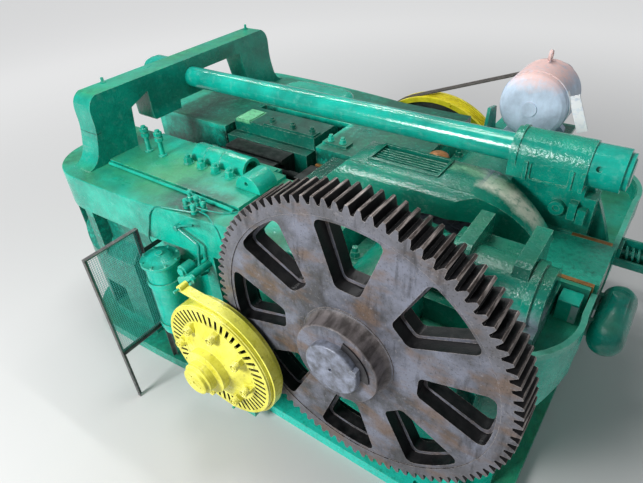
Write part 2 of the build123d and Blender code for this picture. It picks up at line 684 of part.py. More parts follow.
def header_slide():
    """One casting: front body, vented hood, arm over the crank and tail in its rear guides."""
    y0 = SLIDE_Y - SLIDE_HALF
    y1 = SLIDE_Y + SLIDE_HALF
    rear = 1290
    back = [
        Line((SLIDE_FRONT_X, rel(-380)), (SLIDE_FRONT_X, rel(300))),
        Line((SLIDE_FRONT_X, rel(300)), (-1190, rel(310))),
        ThreePointArc((-1190, rel(310)), (-1020, rel(505)), (-870, rel(640))),
        Line((-870, rel(640)), (-760, rel(HOOD_TOP))),
        Line((-760, rel(HOOD_TOP)), (60, rel(HOOD_TOP))),
        ThreePointArc((60, rel(HOOD_TOP)), (520, rel(550)), (860, rel(TAIL_TOP))),
        Line((860, rel(TAIL_TOP)), (rear, rel(TAIL_TOP))),
        Line((rear, rel(TAIL_TOP)), (rear, rel(TAIL_FLOOR))),
        Line((rear, rel(TAIL_FLOOR)), (560, rel(TAIL_FLOOR))),
        Line((560, rel(TAIL_FLOOR)), (560, rel(-380))),
        Line((560, rel(-380)), (SLIDE_FRONT_X, rel(-380))),
    ]
    body = along_y(make_face(back), y0, y1)

    # Rounded shoulders along the hood
    crown = [
        Line((y0, rel(-400)), (y0, rel(HOOD_TOP - HOOD_SHOULDER))),
        ThreePointArc((y0, rel(HOOD_TOP - HOOD_SHOULDER)), (y0 + 50, rel(HOOD_TOP - 50)),
                      (y0 + HOOD_SHOULDER, rel(HOOD_TOP))),
        Line((y0 + HOOD_SHOULDER, rel(HOOD_TOP)), (y1 - HOOD_SHOULDER, rel(HOOD_TOP))),
        ThreePointArc((y1 - HOOD_SHOULDER, rel(HOOD_TOP)), (y1 - 50, rel(HOOD_TOP - 50)),
                      (y1, rel(HOOD_TOP - HOOD_SHOULDER))),
        Line((y1, rel(HOOD_TOP - HOOD_SHOULDER)), (y1, rel(-400))),
        Line((y1, rel(-400)), (y0, rel(-400))),
    ]
    body &= along_x(make_face(crown), SLIDE_FRONT_X - 10, rear + 10)

    # Narrower tail
    for a, b in ((y0 - 1, SLIDE_Y - TAIL_HALF), (SLIDE_Y + TAIL_HALF, y1 + 1)):
        body -= block(640, rear + 1, a, b, rel(-400), rel(HOOD_TOP))

    # The arm narrows in plan towards the tail
    for side in (-1, 1):
        flank = [
            Line((120, SLIDE_Y + side * (SLIDE_HALF + 1)), (1300, SLIDE_Y + side * (SLIDE_HALF + 1))),
            Line((1300, SLIDE_Y + side * (SLIDE_HALF + 1)), (1300, SLIDE_Y + side * NECK_HALF)),
            Line((1300, SLIDE_Y + side * NECK_HALF), (780, SLIDE_Y + side * NECK_HALF)),
            ThreePointArc((780, SLIDE_Y + side * NECK_HALF), (480, SLIDE_Y + side * (NECK_HALF + 55)),
                          (120, SLIDE_Y + side * (SLIDE_HALF + 1))),
        ]
        body -= along_z(make_face(flank), rel(TAIL_TOP), rel(HOOD_TOP + 10))

    # Room for the crank over the whole stroke
    for x in (0, HEADER_STROKE):
        body -= along_y(disc(x, CRANK_Z, ARM_CLEAR), y0 - 1, y1 + 1)
    body -= block(0, HEADER_STROKE, y0 - 1, y1 + 1, rel(-ARM_CLEAR), rel(ARM_CLEAR))
    body -= block(-360, 600, y0 - 1, y1 + 1, rel(-400), rel(TAIL_FLOOR))

    # Pocket for the rod and its free end, rounded where the eye swings
    rise = THROW + WRIST_EYE_R + 15
    pocket = disc(-ROD_CENTRES, CRANK_Z, rise) + rect(-ROD_CENTRES, -200, rel(-400), rel(rise))
    pocket += rect(-ROD_CENTRES - rise, -ROD_CENTRES, rel(-400), CRANK_Z)
    body -= along_y(pocket, SLIDE_Y - ROD_CAVITY_HALF, SLIDE_Y + ROD_CAVITY_HALF)

    # Seat of the grating
    body -= block(GRATE_X0, GRATE_X1, SLIDE_Y - GRATE_HALF, SLIDE_Y + GRATE_HALF, rel(HOOD_TOP - GRATE_DEEP),
                  rel(HOOD_TOP + 10))
    return body


def hood_grating():
    z0 = rel(HOOD_TOP - GRATE_DEEP)
    frame = rect(GRATE_X0, GRATE_X1, SLIDE_Y - GRATE_HALF, SLIDE_Y + GRATE_HALF)
    frame -= rect(GRATE_X0 + 24, GRATE_X1 - 24, SLIDE_Y - GRATE_HALF + 24, SLIDE_Y + GRATE_HALF - 24)
    body = along_z(frame, z0, rel(HOOD_TOP + 16))
    clear = 2 * (GRATE_HALF - 24)
    for n in range(GRATE_SLATS):
        y = SLIDE_Y - GRATE_HALF + 24 + clear * (n + 1) / (GRATE_SLATS + 1)
        body += block(GRATE_X0 + 20, GRATE_X1 - 20, y - 8, y + 8, z0, rel(HOOD_TOP - 4))
    return body


def tool_holder():
    body = block(TOOL_X0, SLIDE_FRONT_X, SLIDE_Y - 150, SLIDE_Y + 150, rel(-235), rel(235))
    body = chamfer(body.faces().sort_by(Axis.X)[0].edges(), 25)
    for height in STATIONS:
        body -= along_x(disc(SLIDE_Y, rel(height), PUNCH_R), TOOL_X0 - 1, SLIDE_FRONT_X - 60)
    return body


def punches():
    solids = []
    for height in STATIONS:
        profile = [(PUNCH_END_X, 0), (PUNCH_END_X, PUNCH_R - 12), (PUNCH_END_X + 90, PUNCH_R - 8),
                   (PUNCH_END_X + 100, PUNCH_R), (SLIDE_FRONT_X - 60, PUNCH_R), (SLIDE_FRONT_X - 60, 0)]
        solids.append(turned_x(profile, SLIDE_Y, rel(height)))
    return group(solids)


def way_liners():
    """Bronze liners: one each side of the front body, one each side on the floor."""
    x0 = -1645
    x1 = -450
    floor = rel(CHANNEL_FLOOR)
    under = rel(-380) - SLIDE_FIT
    solids = []
    for side in (-1, 1):
        inner = SLIDE_Y + side * (SLIDE_HALF + SLIDE_FIT)
        outer = SLIDE_Y + side * (SLIDE_HALF + SLIDE_FIT + GIB_W)
        solids.append(block(x0, x1, min(inner, outer), max(inner, outer), floor, rel(150)))
        a = SLIDE_Y + side * 220
        b = SLIDE_Y + side * (SLIDE_HALF - 10)
        solids.append(block(x0, x1, min(a, b), max(a, b), floor, under))
    return group(solids)


def tail_gib(side):
    inner = SLIDE_Y + side * (TAIL_HALF + SLIDE_FIT)
    outer = inner + side * GIB_W
    return block(960, 1262, min(inner, outer), max(inner, outer), rel(TAIL_FLOOR) - SLIDE_FIT, rel(TAIL_TOP + 2))


# Dies, die slide and what stands on the deck

def die_block(y0, y1, z0):
    """One die half, with half of each stock groove and its wider heading end."""
    body = block(DIE_X0, DIE_X1, y0, y1, z0, rel(DIE_TOP))
    body = chamfer(body.edges().filter_by(Axis.X), 12)
    for height in STATIONS:
        body -= along_x(disc(SLIDE_Y, rel(height), STOCK_R), DIE_X0 - 1, DIE_X1 + 1)
        body -= along_x(disc(SLIDE_Y, rel(height), COUNTER_R), DIE_X1 - 260, DIE_X1 + 1)
    return body


def stationary_die():
    return die_block(DIE_NEAR_Y, SLIDE_Y - DIE_GAP, rel(DIE_FLOOR))


def moving_die():
    return Pos(0, DIE_OPEN, 0) * die_block(SLIDE_Y + DIE_GAP, SLIDE_Y + DIE_DEEP, rel(DIE_FLOOR) + SLIDE_FIT)


def die_slide():
    """The block that carries the moving die, with a bolted keeper strip on top."""
    y0 = SLIDE_Y + DIE_DEEP + DIE_OPEN
    y1 = DIE_FAR_Y - 140
    step = y0 + 150
    top = rel(CARRIER_TOP)
    profile = [(y0, rel(DIE_FLOOR) + SLIDE_FIT), (y1, rel(DIE_FLOOR) + SLIDE_FIT), (y1, top - 60), (y1 - 60, top),
               (step, top), (step, rel(DIE_TOP)), (y0, rel(DIE_TOP))]
    body = along_x(outline(profile), -2880, -1720)
    body += block(-2850, -2650, step + 5, 400, top - 1, top + 14)
    return body + block(-2440, -1730, step + 10, step + 140, top - 1, top + 26)


def slide_bolts():
    solids = []
    z = rel(CARRIER_TOP) + 26
    for x in (-2350, -2060, -1790):
        solids.append(hex_stud(x, SLIDE_Y + DIE_DEEP + DIE_OPEN + 225, z, 22, 66, 36, 34))
    return group(solids)


def clamp_sleeve():
    """Hollow half-round cap along X on the near deck, closed at its front end."""
    y = -735
    z = PAD_Z
    upper = rect(y - 200, y + 200, z, z + 200)
    body = along_x((disc(y, z, SLEEVE_R) - disc(y, z, SLEEVE_BORE_R)) & upper, -2560, -1850)
    body += along_x(disc(y, z, SLEEVE_R) & upper, -2560, -2535)
    for x in (-2400, -2190):
        body += along_x((disc(y, z, SLEEVE_R + 7) - disc(y, z, SLEEVE_R - 15)) & upper, x, x + 24)
    return body


def deck_boss():
    """Half-round barrel along Y on the near deck, with a hole in its near face."""
    x = -1615
    shape = disc(x, PAD_Z, 150) & rect(x - 200, x + 200, PAD_Z, PAD_Z + 300)
    body = along_y(shape, -1050, -800)
    return body - along_y(disc(x - 10, PAD_Z + 70, 20), -1051, -990)


def die_bolts():
    return group([hex_stud(x, -932, PAD_Z, 26, 92, 46, 56) for x in (-2530, -2337, -2144, -1951)])


def deck_studs():
    z = PAD_Z
    solids = []
    for x in (-3120, -2900):
        body = along_z(disc(x, -955, 48), z, z + 16) + along_z(disc(x, -955, 26), z + 16, z + 285)
        body += along_z(Pos(x, -955) * RegularPolygon(44, 6), z + 165, z + 210)
        body += along_z(Pos(x, -955) * RegularPolygon(44, 6), z + 222, z + 262)
        solids.append(body)
    for x in (-1560, -1410):
        solids.append(hex_stud(x, DIE_OPEN + 165, DECK_Z + 30, 22, 66, 36, 34))
    return group(solids)


def toggle_cover():
    """Round-ended cover on the far deck over the clamp linkage."""
    z = PAD_Z
    place = Pos(-2340, (DIE_FAR_Y + 60 + PAD_HALF) / 2)
    body = along_z(place * SlotOverall(1000, 420), z, z + 150)
    body = fillet(body.faces().sort_by(Axis.Z)[-1].edges(), 90)
    return body + along_z(place * SlotOverall(1060, 470), z, z + 30)


# Drive shaft line


def drive_shaft():
    end = FLYWHEEL_NEAR_Y + FLYWHEEL_W + 130
    step = GEAR_NEAR_Y - 40
    return turned_y([(0, HUB_Y), (DRIVE_R - 15, HUB_Y), (DRIVE_R - 15, step), (DRIVE_R, step), (DRIVE_R, end), (0, end)],
                    DRIVE_X, DRIVE_Z)


def pinion():
    """The pinion in mesh: a gap faces the bull gear's tooth on the line of centres."""
    line = degrees(atan2(CRANK_Z - DRIVE_Z, -DRIVE_X))
    gear_phase = ((180 + line) / 360 * GEAR_TEETH) % 1
    turn = line + (0.5 + gear_phase) * 360 / PINION_TEETH
    face = gear_face(PINION_TEETH, 3, turn) - Circle(DRIVE_R)
    body = along_y(face, GEAR_NEAR_Y - 5, GEAR_FAR_Y + 5)
    return Pos(DRIVE_X, 0, DRIVE_Z) * body


def drive_bearing(side):
    """A flanged housing with its bush, let into the side wall's bore."""
    wall = side * BED_HALF
    ring = disc(DRIVE_X, DRIVE_Z, 215) - disc(DRIVE_X, DRIVE_Z, DRIVE_R + RUN_FIT)
    sleeve = disc(DRIVE_X, DRIVE_Z, DRIVE_R + DRIVE_BUSH_T) - disc(DRIVE_X, DRIVE_Z, DRIVE_R + RUN_FIT)
    body = along_y(ring, min(wall, wall + side * 40), max(wall, wall + side * 40))
    return body + along_y(sleeve, min(wall - side * 260, wall), max(wall - side * 260, wall))


def flywheel():
    y0 = FLYWHEEL_NEAR_Y
    y1 = y0 + FLYWHEEL_W
    mid = (y0 + y1) / 2
    groove = 12
    inner = FLYWHEEL_R - FLYWHEEL_RIM
    rim = [(inner, y0), (FLYWHEEL_R, y0)]
    for n in range(BELTS):
        y = belt_y(n)
        rim += [(FLYWHEEL_R, y - BELT_W / 2 - 2), (FLYWHEEL_R - groove, y - BELT_W / 2 - 2),
                (FLYWHEEL_R - groove, y + BELT_W / 2 + 2), (FLYWHEEL_R, y + BELT_W / 2 + 2)]
    rim += [(FLYWHEEL_R, y1), (inner, y1)]
    body = turned_y(rim, DRIVE_X, DRIVE_Z)
    half = FLYWHEEL_WEB / 2
    body += turned_y([(DRIVE_R, mid - 90), (200, mid - 90), (220, mid - half - 10), (inner + 1, mid - half),
                      (inner + 1, mid + half), (220, mid + half + 10), (200, mid + 90), (DRIVE_R, mid + 90)],
                     DRIVE_X, DRIVE_Z)
    middle = (220 + inner) / 2
    for n in range(SPOKES):
        hole = Rot(0, 360 / SPOKES * n, 0) * Pos(middle, 0, 0) * Rot(90, 0, 0) * Cylinder(0.4 * middle, 200)
        body -= Pos(DRIVE_X, mid, DRIVE_Z) * hole
    peg = Rot(0, -75, 0) * Pos(FLYWHEEL_R - FLYWHEEL_RIM / 2, 0, 0) * Rot(90, 0, 0) * Cylinder(14, 60)
    return body - Pos(DRIVE_X, y0, DRIVE_Z) * peg


def belt_y(n):
    return FLYWHEEL_NEAR_Y + FLYWHEEL_W / 2 + (n - (BELTS - 1) / 2) * (BELT_W + 14)


def belt_path(ease):
    """The outline round flywheel and pulley, ease outside their groove floors."""
    big = FLYWHEEL_R - 12 + ease
    small = PULLEY_R - 12 + ease
    dx = MOTOR_X - DRIVE_X
    dz = MOTOR_Z - DRIVE_Z
    span = sqrt(dx * dx + dz * dz)
    line = atan2(dz, dx)
    lean = acos((big - small) / span)

    def rim(cx, cz, radius, turn):
        return (cx + radius * cos(turn), cz + radius * sin(turn))

    a = rim(DRIVE_X, DRIVE_Z, big, line + lean)
    b = rim(MOTOR_X, MOTOR_Z, small, line + lean)
    c = rim(MOTOR_X, MOTOR_Z, small, line - lean)
    d = rim(DRIVE_X, DRIVE_Z, big, line - lean)
    return make_face([
        Line(a, b),
        ThreePointArc(b, rim(MOTOR_X, MOTOR_Z, small, line), c),
        Line(c, d),
        ThreePointArc(d, rim(DRIVE_X, DRIVE_Z, big, line + pi), a),
    ])


def v_belts():
    loop = belt_path(FACE_GAP + BELT_T) - belt_path(FACE_GAP)
    return group([along_y(loop, belt_y(n) - BELT_W / 2, belt_y(n) + BELT_W / 2) for n in range(BELTS)])


def motor_rotor():
    y0 = FLYWHEEL_NEAR_Y
    y1 = y0 + FLYWHEEL_W
    tail = MOTOR_NEAR_Y + 700
    profile = [(0, tail), (45, tail), (45, y0), (PULLEY_R, y0)]
    for n in range(BELTS):
        y = belt_y(n)
        profile += [(PULLEY_R, y - BELT_W / 2 - 2), (PULLEY_R - 12, y - BELT_W / 2 - 2),
                    (PULLEY_R - 12, y + BELT_W / 2 + 2), (PULLEY_R, y + BELT_W / 2 + 2)]
    profile += [(PULLEY_R, y1), (45, y1), (45, y1 + 20), (0, y1 + 20)]
    return turned_y(profile, MOTOR_X, MOTOR_Z)


def motor_body():
    """Frame, domed end bells, bearing cap and feet of the drive motor."""
    big = MOTOR_R
    shell = [(0, 0), (72, 0), (72, 12), (160, 14), (230, 24), (big - 46, 52), (big - 18, 88), (big - 10, 130),
             (big - 10, 150), (big, 150), (big, 560), (big - 10, 560), (big - 30, 640), (big - 90, 682), (190, 694),
             (60, 696), (60, 660), (0, 660)]
    body = turned_y([(r, MOTOR_NEAR_Y + y) for r, y in shell], MOTOR_X, MOTOR_Z)
    low = MOTOR_SEAT
    foot = outline([(MOTOR_X - 270, low), (MOTOR_X + 270, low), (MOTOR_X + 270, low + 35), (MOTOR_X + 190, low + 120),
                    (MOTOR_X - 190, low + 120), (MOTOR_X - 270, low + 35)])
    for y in (MOTOR_NEAR_Y + 190, MOTOR_NEAR_Y + 440):
        body += along_y(foot, y, y + 90)

    # Leaning cover plate on the side and the lifting eye on top
    lean = outline([(MOTOR_X + 300, MOTOR_Z + 124), (MOTOR_X + 393, MOTOR_Z + 160), (MOTOR_X + 540, MOTOR_Z - 172),
                    (MOTOR_X + 449, MOTOR_Z - 212)])
    body += along_y(lean, MOTOR_NEAR_Y + 165, MOTOR_NEAR_Y + 181)
    eye_y = MOTOR_NEAR_Y + 455
    eye_z = MOTOR_Z + MOTOR_R + 62
    body += along_z(disc(MOTOR_X, eye_y, 15), eye_z - 100, eye_z - 40)
    body += along_x(disc(eye_y, eye_z, 52) - disc(eye_y, eye_z, 32), MOTOR_X - 13, MOTOR_X + 13)
    return body


def motor_bracket():
    """Plate on two side webs that stand on the bed's far side."""
    top = MOTOR_SEAT
    y0 = MOTOR_NEAR_Y - 20
    y1 = MOTOR_NEAR_Y + 730
    web = outline([(y0, CRANK_Z), (BED_HALF - 20, CRANK_Z), (y1 - 20, top - 60), (y1 - 20, top - 40), (y0, top - 40)])
    body = block(MOTOR_X - 420, MOTOR_X + 340, y0, y1, top - 40, top)
    for x in (MOTOR_X - 400, MOTOR_X + 280):
        body += along_x(web, x, x + 40)
    cheek = outline([(y0, top), (y0 + 310, top), (y0 + 250, top + 265), (y0 + 70, top + 305)])
    return body + along_x(cheek, MOTOR_X - 420, MOTOR_X - 385)


def brake_drum():
    """Drum and slotted disc in one hollow casting, with its cone, hub and spring lugs."""
    back = DRUM_BACK_Y
    front = DRUM_FRONT_Y
    bore = DRIVE_R - 15
    shell = [(120, back - 30), (DRUM_R - 40, back - 30), (DRUM_R - 40, back), (DRUM_R, back), (DRUM_R, front),
             (DISC_R, front - 2), (DISC_R, DISC_Y), (SLOT_IN_R - 25, DISC_Y), (330, DISC_Y - 40), (215, DISC_Y - 75),
             (215, DISC_Y - 150), (150, DISC_Y - 160), (150, HUB_Y), (bore, HUB_Y), (bore, back - 60), (120, back - 60)]
    body = turned_y(shell, DRIVE_X, DRIVE_Z)
    hollow = [(230, back - 60), (DRUM_R - 35, back - 60), (DRUM_R - 35, front + 2), (230, front + 2)]
    body -= turned_y(hollow, DRIVE_X, DRIVE_Z)
    cutter = block(SLOT_IN_R, SLOT_OUT_R, DISC_Y - 5, front + 10, -SLOT_HALF, SLOT_HALF)
    for n in range(SLOT_COUNT):
        body -= Pos(DRIVE_X, 0, DRIVE_Z) * Rot(0, 360 * n / SLOT_COUNT, 0) * cutter
    lug = block(SLOT_IN_R - 90, SLOT_IN_R - 8, DISC_Y - 48, DISC_Y + 2, -26, 26)
    lug += along_y(disc(SLOT_IN_R - 45, 0, 15), DISC_Y - 98, DISC_Y - 47)
    lug += along_y(Pos(SLOT_IN_R - 45, 0) * RegularPolygon(27, 6), DISC_Y - 76, DISC_Y - 47)
    for n in range(LUG_COUNT):
        body += Pos(DRIVE_X, 0, DRIVE_Z) * Rot(0, 360 / LUG_COUNT * n + 12, 0) * lug
    return body


def hub_cap():
    near = HUB_Y
    cap = turned_y([(0, near), (150, near), (150, near - 22), (128, near - 30), (128, near - 58), (112, near - 66),
                    (0, near - 66)], DRIVE_X, DRIVE_Z)
    cap -= along_y(disc(DRIVE_X, DRIVE_Z, 16), near - 80, near - 30)
    for n in range(3):
        place = Rot(0, 120 * n + 20, 0) * Pos(72, 0, 0)
        cap -= Pos(DRIVE_X, near - 60, DRIVE_Z) * place * Rot(90, 0, 0) * Cylinder(9, 30)
    return cap


def band_eyes():
    """Centres of the band's two end eyes, from the drive shaft's axis: the straight tail's end and the lower end."""
    radius = BAND_OUT_R + 8
    start = polar(radius, BAND_LEAVE)
    tail = (start[0] - BAND_TAIL * sin(radians(BAND_LEAVE)), start[1] + BAND_TAIL * cos(radians(BAND_LEAVE)))
    return [tail, polar(radius, BAND_END)]


def brake_band():
    """Band round the drum: it leaves the top in a straight tail, and ends below in the anchor's eye."""
    middle = (BAND_LEAVE + BAND_END) / 2
    strap = make_face([
        ThreePointArc(polar(BAND_OUT_R, BAND_LEAVE), polar(BAND_OUT_R, middle), polar(BAND_OUT_R, BAND_END)),
        Line(polar(BAND_OUT_R, BAND_END), polar(BAND_IN_R, BAND_END)),
        ThreePointArc(polar(BAND_IN_R, BAND_END), polar(BAND_IN_R, middle), polar(BAND_IN_R, BAND_LEAVE)),
        Line(polar(BAND_IN_R, BAND_LEAVE), polar(BAND_OUT_R, BAND_LEAVE)),
    ])
    strap += Rot(0, 0, BAND_LEAVE) * rect(BAND_IN_R, BAND_OUT_R, -1, BAND_TAIL)
    body = along_y(strap, DRUM_FRONT_Y, DRUM_BACK_Y)
    for x, z in band_eyes():
        body += along_y(disc(x, z, EYE_R), DRUM_FRONT_Y, DRUM_BACK_Y)
    for x, z in band_eyes():
        body -= along_y(disc(x, z, EYE_PIN_R), DRUM_FRONT_Y - 1, DRUM_BACK_Y + 1)
    return Pos(DRIVE_X, 0, DRIVE_Z) * body


def band_anchors():
    """What holds the band's ends: a lever and its pivot in a rib of the bed, and a bracket on the base flange."""
    tail, low_eye = band_eyes()
    x = DRIVE_X + tail[0]
    z = DRIVE_Z + tail[1]
    px = x - LEVER_X
    pz = z - LEVER_Z
    near = DRUM_BACK_Y + 4
    far = near + 30
    web = outline([(x - 20, z + 36), (x + 30, z - 20), (px + 30, pz - 50), (px - 50, pz + 20)])
    high = along_y(web + disc(x, z, 40) + disc(px, pz, 62), near, far)
    high += along_y(disc(x, z, EYE_PIN_R), DRUM_FRONT_Y - 24, near + 1)
    shaft = along_y(disc(px, pz, 38), far - 1, -BED_HALF + 40)
    high += shaft - along_z(offset(bed_outline(), amount=FACE_GAP), pz - 60, pz + 60)
    x = DRIVE_X + low_eye[0]
    z = DRIVE_Z + low_eye[1]
    low = block(x - 60, x + 60, near, -BED_HALF - 60, BED_FLANGE_T, BED_FLANGE_T + 30)
    low += block(x - 60, x + 60, near, near + 30, BED_FLANGE_T, z + 40)
    low += along_y(disc(x, z, EYE_PIN_R), DRUM_FRONT_Y - 24, near + 1)
    return group([high, low])


# Air cylinder, guard, rear spring and tank

def air_cylinder():
    z0 = rel(CYL_FOOT)
    z1 = rel(CYL_TOP)
    return turned_z([(0, z0), (120, z0), (CYL_R, z0 + 40), (CYL_R, z1), (0, z1)], CYL_X, CYL_Y)


def cylinder_cap():
    z1 = rel(CYL_TOP)
    cap = turned_z([(0, z1), (CYL_R + 28, z1), (CYL_R + 28, z1 + 26), (CYL_R - 30, z1 + 34), (CYL_R - 60, z1 + 58),
                    (36, z1 + 66), (36, z1 + 84), (0, z1 + 84)], CYL_X, CYL_Y)
    for n in range(8):
        turn = radians(45 * n + 22)
        cap += along_z(Pos(CYL_X + 170 * cos(turn), CYL_Y + 170 * sin(turn)) * RegularPolygon(14, 6), z1 + 25, z1 + 44)
    return cap


def cylinder_bracket():
    clip = disc(CYL_X, CYL_Y, CYL_R + 16) + rect(CYL_X - 90, CYL_X + 90, CYL_Y + CYL_R - 30, -BED_HALF + BED_RECESS)
    clip -= disc(CYL_X, CYL_Y, CYL_R + FACE_GAP)
    clip -= wall_outline()
    solids = []
    for z in (rel(-960), rel(-420)):
        solids.append(along_z(clip, z, z + 60))
    return group(solids)


def air_valve():
    """Valve on a stalk from the side band, with a round face and an elbow."""
    z = rel(VALVE_RISE)
    y = -BED_HALF - 175
    body = along_y(disc(VALVE_X, z, 58), y - 60, y + 60)
    body += along_y(disc(VALVE_X, z, 40), y - 84, y - 59)
    body += block(VALVE_X - 40, VALVE_X + 40, y - 40, y + 40, z - 120, z)
    stalk = along_y(disc(VALVE_X, z, 24), y + 59, 140 - BED_HALF)
    body += stalk - along_z(wall_outline(), z - 60, z + 60)
    return body + along_x(disc(y, z - 85, 22), VALVE_X - 110, VALVE_X - 39)


def guard_frame():
    """Angle-iron frame standing across X beside the bed, with two clips to the side wall."""
    x0 = GUARD_X
    t = GUARD_BAR
    top = rel(112)
    low = rel(-1100)
    ring = rect(GUARD_Y0, GUARD_Y1, low, top) - rect(GUARD_Y0 + t, GUARD_Y1 - t, low + t, top - t)
    body = along_x(ring, x0, x0 + 6)
    lip = rect(GUARD_Y0, GUARD_Y1, low, top) - rect(GUARD_Y0 + 6, GUARD_Y1 - 6, low + 6, top - 6)
    body += along_x(lip, x0, x0 + t)
    for y, z0, web_y in ((GUARD_Y0, 0, GUARD_Y0), (GUARD_Y1 - t, BED_FLANGE_T, GUARD_Y1 - 6)):
        body += block(x0, x0 + 6, y, y + t, z0, low + 10)
        body += block(x0, x0 + t, web_y, web_y + 6, z0, low + 10)
    for z in (low + 200, top - 300):
        body += block(x0, x0 + 6, GUARD_Y1 - 10, -WALL_IN, z, z + 50) - along_z(wall_outline(), z, z + 50)
    return body


def guard_mesh():
    """Welded wire: upright wires against the frame, level wires lying against them."""
    low = rel(-1100) + 8
    top = rel(112) - 8
    y0 = GUARD_Y0 + 8
    y1 = GUARD_Y1 - 8
    face = GUARD_X + 6
    upright = int((y1 - y0) / MESH_PITCH)
    level = int((top - low) / MESH_PITCH)
    solids = []
    for n in range(1, upright + 1):
        y = y0 + (y1 - y0) * n / (upright + 1)
        solids.append(block(face, face + WIRE, y, y + WIRE, low, top))
    for n in range(1, level + 1):
        z = low + (top - low) * n / (level + 1)
        solids.append(block(face + WIRE, face + 2 * WIRE, y0, y1, z, z + WIRE))
    return group(solids)


def spring_rod():
    rod = turned_x([(BED_REAR, 0), (BED_REAR, 22), (SPRING_X1 + 90, 22), (SPRING_X1 + 90, 0)], SPRING_Y, SPRING_Z)
    rod += along_x(disc(SPRING_Y, SPRING_Z, 62), SPRING_X1, SPRING_X1 + 16)
    rod += along_x(Pos(SPRING_Y, SPRING_Z) * RegularPolygon(36, 6), SPRING_X1 + 16, SPRING_X1 + 50)
    return rod


def coil_spring():
    """The spring's turns as a helix of square-cut wire between its two seats."""
    seat = 1.11 * SPRING_WIRE + FACE_GAP
    length = SPRING_X1 - SPRING_X0 - 2 * seat
    path = Helix(pitch=length / SPRING_TURNS, height=length, radius=SPRING_R)
    wire = Plane(origin=path @ 0, z_dir=path % 0) * Rectangle(1.8 * SPRING_WIRE, 1.8 * SPRING_WIRE)
    coil = sweep(wire, path=path)
    return Pos(SPRING_X0 + seat, SPRING_Y, SPRING_Z) * Rot(0, 90, 0) * coil


def spring_channel():
    """Channel under and beside the spring, bolted to the rear wall."""
    z = SPRING_Z
    shape = outline([(SPRING_Y - 90, z - 90), (SPRING_Y + 90, z - 90), (SPRING_Y + 90, z + 80), (SPRING_Y + 72, z + 80),
                     (SPRING_Y + 72, z - 70), (SPRING_Y - 72, z - 70), (SPRING_Y - 72, z - 20), (SPRING_Y - 90, z - 20)])
    body = along_x(shape, BED_REAR, SPRING_X1 + 60)
    seat = rect(SPRING_Y - 80, SPRING_Y + 80, z - 75, z + 70) - disc(SPRING_Y, z, 22 + FACE_GAP)
    return body + along_x(seat, BED_REAR, SPRING_X0)


def air_tank():
    """Receiver along Y behind the rear wall, with domed ends and a round fitting."""
    steps = [polar(1, turn) for turn in (0, 18, 36, 54, 72, 90)]
    near = [(TANK_R * b, TANK_Y0 + TANK_R * (1 - a)) for a, b in steps]
    far = [(TANK_R * b, TANK_Y1 - TANK_R * (1 - a)) for a, b in reversed(steps)]
    body = turned_y(near + far, TANK_X, TANK_Z)
    return body + along_z(disc(TANK_X, -400, 60), TANK_Z + 90, TANK_Z + 170)


def tank_saddles():
    solids = []
    for y in (TANK_Y0 + 190, TANK_Y1 - 190):
        plate = rect(BED_REAR, TANK_X, TANK_Z - 100, TANK_Z + 60) - disc(TANK_X, TANK_Z, TANK_R)
        solids.append(along_y(plate, y, y + 40))
    return group(solids)


def near_gib_block():
    """Keeper block with a pale wear plate face, outside the near gib."""
    return block(1080, 1225, -800, -650, CRANK_Z, rel(176))


PIECES = {
    "bed_frame": bed_frame,
    "arch_yoke": arch_yoke,
    "tie_bar": tie_bar,
    "front_nut": lambda: bar_nut(YOKE_X0, YOKE_X0 - 300, YOKE_X0 - 380),
    "rear_nut": lambda: bar_nut(ANCHOR_X1, ANCHOR_X1 + 226, ANCHOR_X1 + 262),
    "bar_anchor": bar_anchor,
    "crankshaft": crankshaft,
    "bull_gear": bull_gear,
    "gear_key": lambda: key_block(0),
    "key_keeper": key_keeper,
    "crank_bush_near": lambda: crank_bush(-BED_FACE, SLIDE_Y - PIT_HALF_Y),
    "crank_bush_far": lambda: crank_bush(SLIDE_Y + PIT_HALF_Y, FAR_CAP_END),
    "crank_cap_near": near_cap,
    "crank_cap_far": lambda: crank_cap(FAR_CAP_Y, FAR_CAP_END),
    "cap_nuts": cap_nuts,
    "pitman": pitman,
    "pitman_cap": pitman_cap,
    "wrist_pin": wrist_pin,
    "header_slide": header_slide,
    "hood_grating": hood_grating,
    "tool_holder": tool_holder,
    "punches": punches,
    "way_liners": way_liners,
    "tail_gib_near": lambda: tail_gib(-1),
    "tail_gib_far": lambda: tail_gib(1),
    "gib_keeper": near_gib_block,
    "stationary_die": stationary_die,
    "moving_die": moving_die,
    "die_slide": die_slide,
    "slide_bolts": slide_bolts,
    "clamp_sleeve": clamp_sleeve,
    "deck_boss": deck_boss,
    "die_bolts": die_bolts,
    "deck_studs": deck_studs,
    "toggle_cover": toggle_cover,
    "drive_shaft": drive_shaft,
    "pinion": pinion,
    "drive_bearing_near": lambda: drive_bearing(-1),
    "drive_bearing_far": lambda: drive_bearing(1),
    "flywheel": flywheel,
    "v_belts": v_belts,
    "motor_rotor": motor_rotor,
    "motor_body": motor_body,
    "motor_bracket": motor_bracket,
    "brake_drum": brake_drum,
    "hub_cap": hub_cap,
    "brake_band": brake_band,
    "band_anchors": band_anchors,
    "air_cylinder": air_cylinder,
    "cylinder_cap": cylinder_cap,
    "cylinder_bracket": cylinder_bracket,
    "air_valve": air_valve,
    "guard_frame": guard_frame,
    "guard_mesh": guard_mesh,
    "spring_rod": spring_rod,
    "coil_spring": coil_spring,
    "spring_channel": spring_channel,
    "air_tank": air_tank,
    "tank_saddles": tank_saddles,
}

for name, make in PIECES.items():
    export_step(make(), f"parts/{name}.step")
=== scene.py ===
import bpy
import bmesh
import json
import numpy as np
from math import cos, radians, sin
from mathutils import Matrix, Vector

